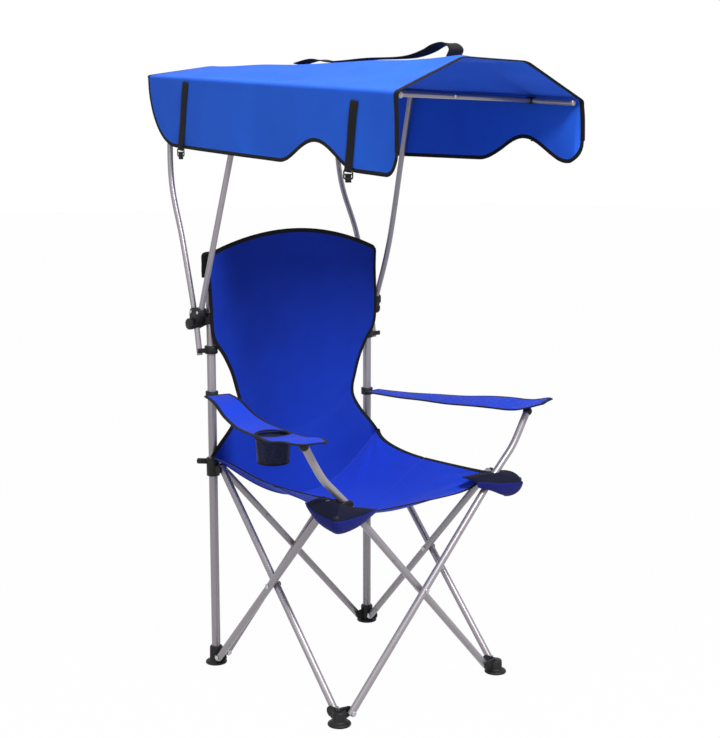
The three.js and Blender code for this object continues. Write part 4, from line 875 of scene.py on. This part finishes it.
for k, corner in enumerate(CORNERS[:2]):
    body = f"{corner}_hub"
    tip = turned_to_corner(k, np.array([-POCKET_TIP, -POCKET_TIP, SEAT_PIN_Z]))
    for run, low, high in (("one", 0.0, 0.5), ("two", 0.5, 1.0)):
        share = np.linspace(low, high, 45)
        across_x = (run == "two") == (k == 0)
        crumple = dict(axis=LEFT if across_x else REAR, anchor=tuple(map(float, tip)), keep=POCKET_KEEP)
        wall = pocket_at(*np.meshgrid(share, np.linspace(0, 1, 29)))
        grid = turned_to_corner(k, wall)
        lining_grid = turned_to_corner(k, lining_at(wall[-1] * (0.96, 0.96, 1), share))
        name = f"hub_pocket_{corner}_{run}"
        pocket = cloth(name, grid, body, POCKET_CLOTH, [f"hub_pocket_{corner}"], crumple)
        tapes = bind(name, grid, ("last",), body, crumple, width=0.006, inset=0.0025, material=POCKET_CLOTH)
        # The lining's near-black colour is painted shade inside the pocket.
        lining = cloth(f"{name}_lining", lining_grid[:, ::-1], body, SHADE_LINING, (), crumple, thickness=0.001)
        declare(grid, tapes + [lining])

# Armrests

ARM_HALF = 0.043
ARM_SHARES = np.array([0, 0.1, 0.3, 0.5, 0.68, 0.84, 0.95, 1.0])
ARM_WIDTHS = np.array([0.66, 0.70, 0.84, 0.98, 1.0, 0.98, 0.86, 0.5]) * ARM_HALF
ARM_OVERHANG = 0.052
ARM_LEAN = {-1.0: 0.0, 1.0: 0.008}
ARM_SQUASH = {
    "right": dict(axis=(-0.1862, -0.9825, 0), anchor=(-HALF, ARM_REAR_Y, 0.6365), keep=0.299),
    "left": dict(axis=(0.1795, -0.9838, 0), anchor=(HALF, ARM_REAR_Y, 0.5965), keep=0.3616),
}
CUP_BEHIND = 0.143
HOLE_R = 0.0365


def arm_frame(sign):
    """Where an armrest starts, its direction, the direction across it and its length."""
    rear = np.array([sign * HALF, ARM_REAR_Y])
    reach = post_top(sign)[:2] - rear
    length = np.linalg.norm(reach)
    along = reach / length
    return rear, along, np.array([-along[1], along[0]]), length + ARM_OVERHANG


def arm_outline():
    """The strip's outline as (share along, distance across): two long edges between a front and a rear end."""
    t = np.linspace(0, 1, 160)
    s, half = spline_at(ARM_SHARES, t), spline_at(ARM_WIDTHS, t)
    front = np.linspace(1, -1, 25)[1:-1]
    rear = np.linspace(-1, 1, 17)[1:-1]
    s = np.concatenate([s, np.ones(len(front)), s[::-1], np.zeros(len(rear))])
    w = np.concatenate([half, front * half[-1], -half[::-1], rear * half[0]])
    return s, w


def arm_points(sign, s, w):
    """The strip's surface at share s along and distance w across. Its height is a spline from the loop over the
    post's cap, a lean that grows as sin(pi s / 2)^2, long edges that droop a little, and a slight unevenness."""
    rear, along, across, length = arm_frame(sign)
    flat = rear + along * (s * length)[..., None] + across * w[..., None]
    share = w / ARM_HALF
    lean = ARM_LEAN[sign] * share * np.sin(np.pi * s / 2) ** 2
    z = ARM_TOP - 0.0004 + spline_at(ARM_RISES[sign], s) + lean - 0.0016 * share * share
    z = z + 0.0009 * ripple(flat[..., 0], flat[..., 1], 33 if sign > 0 else 35, 20, 70)
    return coords(flat[..., 0], flat[..., 1], z)


def looped(row):
    """A ring of points with its first two again at the end."""
    return np.concatenate([row, row[:2]])


for name, sign in SIDES:
    body = f"{name}_armrest"
    fold = ARM_SQUASH[name]
    s, w = arm_outline()
    rear_at, along, across, length = arm_frame(sign)
    if name == "right":
        hole_s = (length - ARM_OVERHANG - CUP_BEHIND) / length
        heading = np.arctan2(w, (s - hole_s) * length)
        inner_s, inner_w = hole_s + HOLE_R * np.cos(heading) / length, HOLE_R * np.sin(heading)
    else:
        inner_s, inner_w = np.clip(s, 0.03, 0.97), w * 0
    blend = np.linspace(0, 1, 33)[:, None]
    grid = arm_points(sign, inner_s + (s - inner_s) * blend, inner_w + (w - inner_w) * blend)
    closed = wrapped(grid)
    flat_uv = coords(*((closed[..., :2] - rear_at) @ way for way in (across, along)))
    top = cloth(f"armrest_{name}_cloth", grid, body, CLOTH, [f"armrest_{name}"], fold, thickness=0.0022,
                uv=flat_uv, closed=True)
    outer, toward = looped(grid[-1]), looped(grid[-2])
    edge = outer + normed(toward - outer) * 0.0036 - (0, 0, 0.0011)
    lines = [("binding", edge, 0.010)]
    if name == "right":
        lines.append(("cup_rim", looped(grid[0]) - (0, 0, TAPE_SINK), 0.007))
    tapes = [flat_tape(f"armrest_{name}_{label}", line, UP, width, 0.0034, body, (), fold)
             for label, line, width in lines]
    size = (length + 0.001, 2 * ARM_WIDTHS.max() + 0.002)
    declare(closed, tapes, size)

# Cup holder: a round net that hangs from the rim of the armrest's hole

CUP_TOP = 0.5985
CUP_DEPTH = 0.0565
CUP_R = 0.0372
CUP_TAPER = 0.004
CUP_TAPE_R = 0.0368

rear_at, along, across, length = arm_frame(-1.0)
cup_middle = rear_at + along * (length - ARM_OVERHANG - CUP_BEHIND)
angle = np.linspace(0, 2 * math.pi, 97)
depth = np.linspace(0, 1, 25)[:, None]
radius = CUP_R - CUP_TAPER * depth + 0.0007 * np.sin(angle * 9) * np.sin(np.pi * depth)
wall = on_circle(cup_middle, radius, angle, CUP_TOP - 0.0008 - CUP_DEPTH * depth)
share = np.linspace(1, 0.02, 13)[:, None]
base = on_circle(cup_middle, (CUP_R - CUP_TAPER) * share, angle, CUP_TOP - 0.0573 - 0.0022 * (1 - share**2))
net_grid = np.concatenate([wall, base], axis=0)[::-1]
net = cloth("cup_holder_net", net_grid, "cup_holder", NET, ["cup_holder"], thickness=0.0009)
tapes = []
for label, radius, z, width, thickness in (("rim", CUP_TAPE_R, CUP_TOP - 0.0035, 0.0068, 0.0018),
                                           ("base_seam", CUP_TAPE_R * 0.9, CUP_TOP - CUP_DEPTH, 0.004, 0.0016)):
    line = on_circle(cup_middle, radius, angle, z)
    tapes.append(flat_tape(f"cup_holder_{label}", line, normed(line - (*cup_middle, z)), width, thickness,
                           "cup_holder", ["cup_holder"]))
declare(net_grid, tapes)

# Canopy frame: struts, rails and the two bars

PIVOT = (0.248, 0.800)
STRUT_X = 0.257
REAR_STRUT = [(0.2355, 0.729), (0.248, 0.800), (0.301, 0.984), (0.355, 1.120), (0.369, None)]
FRONT_STRUT = [(0.232, 0.816), (0.182, 0.954), (0.121, 1.166), (0.078, None)]
STRUT_BEND_Z = 0.950
RAIL_INSET = 0.010
BAR_FRONT = -0.308
BAR_REAR = 0.295
BAR_LAP = 0.0054
BAR_SLEEVE = 0.020
BAR_OVERLAP = 0.012


def along_canopy(y, front, rear):
    return front + (rear - front) * (y - CANOPY_FRONT) / (CANOPY_REAR - CANOPY_FRONT)


def eave_z(y):
    return along_canopy(y, EAVE_FRONT, EAVE_REAR)


def ridge_z(y):
    return eave_z(y) + along_canopy(y, RIDGE_FRONT_RISE, RIDGE_REAR_RISE)


def rail_z(y):
    return eave_z(y) - RAIL_DROP


def strut_points(sign, places):
    """A strut's places: beside the upright below, leaning in to the rail above."""
    top = rail_z(places[-1][0]) - 0.002
    points = []
    for y, z in places:
        z = top if z is None else z
        lean = max(0.0, (z - STRUT_BEND_Z) / (top - STRUT_BEND_Z))
        points.append((sign * (STRUT_X + (RAIL_X - STRUT_X) * lean), y, z))
    return points


slope = normed(np.array([0, CANOPY_REAR - CANOPY_FRONT, EAVE_REAR - EAVE_FRONT]))
for name, sign in SIDES:
    body = f"{name}_canopy_side"
    for which, places in (("rear", REAR_STRUT), ("front", FRONT_STRUT)):
        tube(f"{which}_strut_{name}", curve_through(strut_points(sign, places)), STRUT_R, LEFT, body)
    ends = [(sign * RAIL_X, y, rail_z(y)) for y in (CANOPY_FRONT + RAIL_INSET, CANOPY_REAR - RAIL_INSET)]
    tube(f"canopy_rail_{name}", ends, RAIL_R, LEFT, body)
    for which, y in (("front", BAR_FRONT + sign * BAR_LAP), ("rear", BAR_REAR + sign * BAR_LAP)):
        node, body = f"cross_bar_{which}_{name}", f"{which}_bar_{name}"
        ends = [(sign * (RAIL_X - RAIL_R), y, rail_z(y)), (-sign * BAR_OVERLAP, y, rail_z(y))]
        tube(node, ends, BAR_R, UP, body, 24)
        low = np.array([sign * RAIL_X, y, rail_z(y)]) - slope * BAR_SLEEVE / 2
        plastic(ring(f"{node}_sleeve", low, slope, 0.0076, 0.0064, BAR_SLEEVE, 0.0005, 32), body, node)
    at = (0, BAR_FRONT + sign * (BAR_LAP + BAR_R), rail_z(BAR_FRONT))
    rivet = dome(f"front_bar_rivet_{name}", at, (0, sign, 0), 0.0042, 0.0018)
    plated(rivet, f"front_bar_{name}", f"cross_bar_front_{name}")

# Clamps, stops, blocks and knobs on the uprights

CLAMP_Z = 0.799
CLAMP_HEIGHT = 0.026
CLAMP_EAR = 0.006
STOP_Z = 0.731
STOP_HEIGHT = 0.018
HOOK_DEPTH = 0.0055
HOOK_THICKNESS = 0.010
COLLAR_BORE = 0.0103
BLOCK_THICKNESS = 0.020
RIVET_Z = 0.826
KNOB_THICKNESS = 0.012
CLEARANCE = 0.0003


def in_yz(sign, outline, x, name, thickness, edge=0.0009):
    """A plate that stands across the chair: its outline is given as (y, z)."""
    return slab(name, outline, np.array([sign * x, 0, 0]), REAR, UP, thickness, edge)


for name, sign in SIDES:
    body, side_body = f"rear_{name}_leg", f"{name}_canopy_side"
    corner = np.array([sign * HALF, HALF, 0])
    node = f"canopy_clamp_{name}"
    collar(node, body, corner + (0, 0, CLAMP_Z), COLLAR_R, COLLAR_BORE, CLAMP_HEIGHT, 0.0014)
    outline = np.vstack([[(0.225, CLAMP_Z)], arc(PIVOT, 0.010, -90, 90), [(0.225, CLAMP_Z + CLAMP_HEIGHT)]])
    ear_x = HALF + UPRIGHT_R + CLEARANCE + CLAMP_EAR / 2
    plastic(in_yz(sign, outline, ear_x, f"{node}_ear", CLAMP_EAR), body, node)
    node = f"canopy_stop_{name}"
    collar(node, body, corner + (0, 0, STOP_Z), COLLAR_R, COLLAR_BORE, STOP_HEIGHT, 0.0012)
    hook_y = min(REAR_STRUT[0][0] - STRUT_R - CLEARANCE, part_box(node)[1].y)
    outline = rounded((HALF - 0.004, hook_y - HOOK_DEPTH), (STRUT_X + 0.011, hook_y), 0.002)
    hook_at = (0, 0, STOP_Z + STOP_HEIGHT / 2)
    plastic(slab(f"{node}_hook", outline * (sign, 1), hook_at, LEFT, REAR, HOOK_THICKNESS), body, node)
    node = f"strut_block_{name}"
    shoulder = arc((PIVOT[0] + 0.001, PIVOT[1] + 0.024), 0.012, 0, 90, 9)
    outline = np.vstack([arc(PIVOT, 0.012, 180, 360), shoulder, [(0.222, 0.836), (0.219, 0.832), (0.219, 0.818)]])
    plastic(in_yz(sign, outline, STRUT_X, f"{node}_body", BLOCK_THICKNESS, 0.0016), side_body, node)
    for label, y in (("front", 0.2275), ("rear", 0.2545)):
        at = (sign * (STRUT_X + BLOCK_THICKNESS / 2), y, RIVET_Z)
        plated(dome(f"{node}_rivet_{label}", at, (sign, 0, 0), 0.0038, 0.0018), side_body, node)
    node = f"canopy_knob_{name}"
    angle = np.linspace(0, 2 * math.pi, 120, endpoint=False)
    reach = 0.013 - 0.0016 * np.cos(6 * angle) ** 2
    outline = on_circle(PIVOT, reach, angle)
    knob_x = STRUT_X + BLOCK_THICKNESS / 2 + CLEARANCE + KNOB_THICKNESS / 2
    plastic(in_yz(sign, outline, knob_x, f"{node}_body", KNOB_THICKNESS, 0.0022), f"{name}_knob", node)

# Canopy: one cloth from hem to hem, over the eaves and the two ridges

HEM = {-1.0: (1.165, 0.086, -0.190), 1.0: (1.171, 0.035, -0.266)}
SCALLOP_HALF = 0.128
SCALLOP_RISE = 0.049
CANOPY_BODY = "right_canopy_side"


def rounded_end(distance, length, height):
    share = np.maximum(0, 1 - distance / length)
    return height * (1 - np.sqrt(1 - share * share))


def hem_z(sign, y):
    """The hem: a slope, one scallop of cos^2 and quarter ellipses at both ends; never above the eave."""
    middle, slope, scallop_y = HEM[sign]
    across = np.minimum(1, np.abs(y - scallop_y) / SCALLOP_HALF)
    rise = SCALLOP_RISE * np.cos(math.pi / 2 * across) ** 2
    front = rounded_end(y - CANOPY_FRONT, 0.034, 0.050)
    rear = rounded_end(CANOPY_REAR - y, 0.110, 0.150)
    return np.minimum(middle + slope * y + rise + front + rear, eave_z(y) - 0.0025)


def canopy_section(y):
    """Points (x, z) across the canopy at each y. Straight runs join in quadratic curves at the eaves and the
    ridges, and the columns keep their places from row to row."""
    right, left = ([(sign * CANOPY_HALF, hem_z(sign, y)), (sign * CANOPY_HALF, eave_z(y)),
                    (sign * RIDGE_HALF, ridge_z(y))] for _, sign in SIDES)
    knots = np.array([coords(x, z) for x, z in right + left[::-1]])
    turn_in = [0, 0.007, 0.012, 0.012, 0.007, 0]
    columns = []
    for i, run in enumerate((22, 34, 34, 34, 22)):
        a, b = knots[i], knots[i + 1]
        reach = np.linalg.norm(b - a, axis=-1, keepdims=True)
        step = normed(b - a)
        start = a + step * np.minimum(turn_in[i], reach * 0.45)
        end = b - step * np.minimum(turn_in[i + 1], reach * 0.45)
        columns.append(start + (end - start) * np.linspace(0, 1, run)[:, None, None])
        if i < 4:
            after = knots[i + 2] - b
            reach = np.linalg.norm(after, axis=-1, keepdims=True)
            beyond = b + normed(after) * np.minimum(turn_in[i + 1], reach * 0.45)
            columns.append(quadratic(end, b, beyond, np.linspace(0, 1, 8)[1:-1, None, None]))
    return np.concatenate(columns, axis=0)


def arch(y, start, end):
    """Half a sine wave from start to end, and 0 outside."""
    return np.sin(np.pi * np.clip((y - start) / (end - start), 0, 1))


t = np.linspace(0, 1, 181)
canopy_y = CANOPY_FRONT + (CANOPY_REAR - CANOPY_FRONT) * (t + (1 - np.cos(math.pi * t)) / 2) / 2
section = canopy_section(canopy_y)
canopy_grid = coords(section[..., 0], canopy_y, section[..., 1]).transpose(1, 0, 2)
x_at, y_at, z_at = canopy_grid[..., 0], canopy_grid[..., 1], canopy_grid[..., 2]
outward = grid_normals(canopy_grid)
on_roof = soft_step(CANOPY_HALF - np.abs(x_at), 0.004, 0.05)
between_bars = arch(y_at, BAR_FRONT, BAR_REAR) + 0.5 * arch(y_at, CANOPY_FRONT, BAR_FRONT)
off_ridge = 1 - np.exp(-((np.abs(x_at) - RIDGE_HALF) / 0.03) ** 2)
sag = -0.0065 * between_bars * on_roof * (0.35 + 0.65 * off_ridge)
creases = 0.0030 * ripple(x_at * 1.4, y_at * 0.6, 5, 14, 52, 9) * on_roof
valance = 1 - soft_step(CANOPY_HALF - np.abs(x_at), 0.0, 0.004)
drop = np.clip((eave_z(y_at) - z_at) / 0.14, 0, 1)
waves = 0.0042 * np.sin(y_at * 21 + np.sign(x_at) * 0.9) + 0.0045 * ripple(y_at, z_at * 0.5, 8, 20, 60)
rim = soft_step(np.minimum(y_at - CANOPY_FRONT, CANOPY_REAR - y_at), 0, 0.02)
canopy_grid = canopy_grid + outward * ((sag + creases + valance * drop * waves) * rim)[..., None]
canopy_grid[..., 0] = np.clip(canopy_grid[..., 0], -CANOPY_HALF, CANOPY_HALF)
# The canopy's paler copy of the seat fabric is painted light.
canopy = cloth("canopy_cloth", canopy_grid, CANOPY_BODY, LIT_CANOPY_CLOTH, ["canopy"], CANOPY_ACROSS,
               thickness=0.0014)
canopy_tapes = bind("canopy", canopy_grid, ("left", "right", "last"), CANOPY_BODY, CANOPY_ACROSS, width=0.009,
                    inset=0.003)
canopy_tapes += bind("canopy_front", canopy_grid, ("first",), CANOPY_BODY, CANOPY_ACROSS, width=0.013, inset=0.0045)
declare(canopy_grid, canopy_tapes)

# Tie straps on the valances, with ladder buckles

TIES = (("rear", 0.299, 1.334, 0.025), ("front", -0.294, 1.272, 0.018))
TIE_X = CANOPY_HALF + 0.0014
SHORTER_TIE = {"tie_front_left": 0.024}
STRAP_WIDTH = 0.0235
TAIL_WIDTH = 0.019
BUCKLE_X = CANOPY_HALF + 0.0016
BUCKLE_HALF = 0.0134
BUCKLE_BAR_HALF = 0.011
BUCKLE_BAR_R = 0.0016
for name, sign in SIDES:
    body = f"{name}_canopy_side"
    for which, y, top, lean in TIES:
        node = f"tie_{which}_{name}"
        hem = float(hem_z(sign, np.array([y]))[0]) + SHORTER_TIE.get(node, 0.0)
        z = np.linspace(top, hem - 0.006, 40)
        x = sign * (TIE_X + 0.0008 * np.sin((top - z) * 55))
        along = y - lean * (z - hem) / (top - hem) + 0.0012 * np.sin((top - z) * 24)
        flat_tape(f"{node}_strap", coords(x, along, z), LEFT, STRAP_WIDTH, 0.0016, body, [node], None, WEBBING)
        loop = rounded((-BUCKLE_HALF, hem - 0.018), (BUCKLE_HALF, hem - 0.002), 0.004, 8)
        loop = np.vstack([loop, loop[:1]])
        line = coords(sign * BUCKLE_X, y + loop[:, 0], loop[:, 1])
        flat_tape(f"{node}_buckle", line, LEFT, 0.0036, 0.0022, body, [node], None, PLASTIC)
        ends = [(sign * TIE_X, y + reach, hem - 0.010) for reach in (-BUCKLE_BAR_HALF, BUCKLE_BAR_HALF)]
        path, sizes = with_ends(ends, BUCKLE_BAR_R, round_over=0.0004)
        plastic(swept(f"{node}_buckle_bar", path, sizes, UP, 16), body, node)
        z = np.linspace(hem - 0.009, hem - 0.0255, 14)
        x = sign * (TIE_X + 0.0004 * np.sin((hem - z) * 120))
        flat_tape(f"{node}_tail", coords(x, y, z), LEFT, TAIL_WIDTH, 0.0014, body, [node], None, WEBBING)

# Carry strap, folded along the top of the canopy

CARRY_LENGTHS = [0, 0.12, 0.24, 0.5, 0.74, 0.84, 0.9, 0.965, 1.0, 0.985]
CARRY_RISES = [0.006, 0.27, 0.04, 0.16, 0.2, 0.55, 0.92, 1.0, 0.55, 0.006]
CARRY_X = -0.046
CARRY_Y = 0.132
CARRY_RUN = 0.500
CARRY_RISE = 0.028
CARRY_HALF = 0.019
carry = []
for share, rise in zip(CARRY_LENGTHS, CARRY_RISES):
    y = CARRY_Y - CARRY_RUN * share
    carry.append((CARRY_X, y, float(ridge_z(y)) + 0.0018 + CARRY_RISE * rise))
carry_line = curve_through(carry, 12)
carry_normal = normed(np.cross(LEFT, np.gradient(carry_line, axis=0)))
across_strap = np.linspace(-CARRY_HALF, CARRY_HALF, 9)[:, None]
crown = 0.0012 * (1 - (across_strap / CARRY_HALF) ** 2)
carry_grid = carry_line[:, None] + across_strap * LEFT + carry_normal[:, None] * crown
carry_strap = cloth("carry_strap_webbing", carry_grid[::-1], CANOPY_BODY, WEBBING, ["carry_strap"], CANOPY_ACROSS,
                    thickness=0.0022)
declare(carry_grid)

# Camera, floor and light

CAMERA_DOWN = 8.62
CAMERA_TURN = -39.69
FLOOR_HALF = 30
FLOOR_GREY = (0.62, 0.62, 0.62, 1)
FLOOR_GLOW = 0.985
SKY = (0.93, 0.96, 1.0, 1)
SKY_STRENGTH = 0.19
WHITE = (1, 1, 1, 1)

scene = bpy.context.scene
scene.view_settings.view_transform = "Standard"
camera_data = bpy.data.cameras.new("photo_angle")
camera_data.lens = 66.3
camera_data.sensor_width = 36
camera_data.sensor_fit = "HORIZONTAL"
camera = bpy.data.objects.new("photo_angle", camera_data)
scene.collection.objects.link(camera)
camera.location = (-1.869, -2.272, 1.146)
camera.rotation_euler = (math.radians(90 - CAMERA_DOWN), 0, math.radians(CAMERA_TURN))
scene.camera = camera


def seen_apart(owner, output, lit, seen, most):
    """Gives a floor or a world two shaders: seen, at most that share, for rays that the camera sees by itself,
    mirrored or through glass, and lit for the rest."""
    owner.use_nodes = True
    tree = owner.node_tree
    tree.nodes.clear()
    rays = add_node(tree, "ShaderNodeLightPath").outputs
    camera_ray, glossy, through = (Wire(tree, rays[f"Is {kind} Ray"]) for kind in ("Camera", "Glossy", "Transmission"))
    mixer = add_node(tree, "ShaderNodeMixShader", Fac=camera_ray.or_more(glossy).or_more(through) * most)
    for socket, (kind, values) in zip(mixer.inputs[1:], (lit, seen)):
        feed(tree, socket, add_node(tree, kind, **values).outputs[0])
    add_node(tree, output, Surface=mixer.outputs[0])


floor_corners = [(x * FLOOR_HALF, y * FLOOR_HALF, 0) for x, y in ((-1, -1), (1, -1), (1, 1), (-1, 1))]
floor_mesh = bpy.data.meshes.new("floor")
floor_mesh.from_pydata(floor_corners, [], [(0, 1, 2, 3)])
floor = bpy.data.objects.new("floor", floor_mesh)
scene.collection.objects.link(floor)
floor_look = bpy.data.materials.new("pale_floor")
seen_apart(floor_look, "ShaderNodeOutputMaterial", ("ShaderNodeBsdfDiffuse", dict(Color=FLOOR_GREY)),
           ("ShaderNodeEmission", dict(Color=WHITE)), FLOOR_GLOW)
floor_mesh.materials.append(floor_look)

scene.world = bpy.data.worlds.new("studio")
seen_apart(scene.world, "ShaderNodeOutputWorld",
           ("ShaderNodeBackground", dict(Color=SKY, Strength=SKY_STRENGTH)),
           ("ShaderNodeBackground", dict(Color=WHITE, Strength=1.0)), 1.0)

for name, place, aim_z, size, power in (("key", (-0.45, -2.80, 3.50), 0.6, 1.0, 180),
                                        ("top", (-0.5, 0.2, 4.0), 0.8, 2.5, 48),
                                        ("fill", (-3.2, -1.2, 1.7), 0.7, 2.0, 17)):
    data = bpy.data.lights.new(name, "AREA")
    data.shape = "SQUARE"
    data.size = size
    data.energy = power
    lamp = bpy.data.objects.new(name, data)
    scene.collection.objects.link(lamp)
    lamp.location = place
    lamp.rotation_euler = (Vector(place) - Vector((0, 0, aim_z))).to_track_quat("Z", "Y").to_euler()
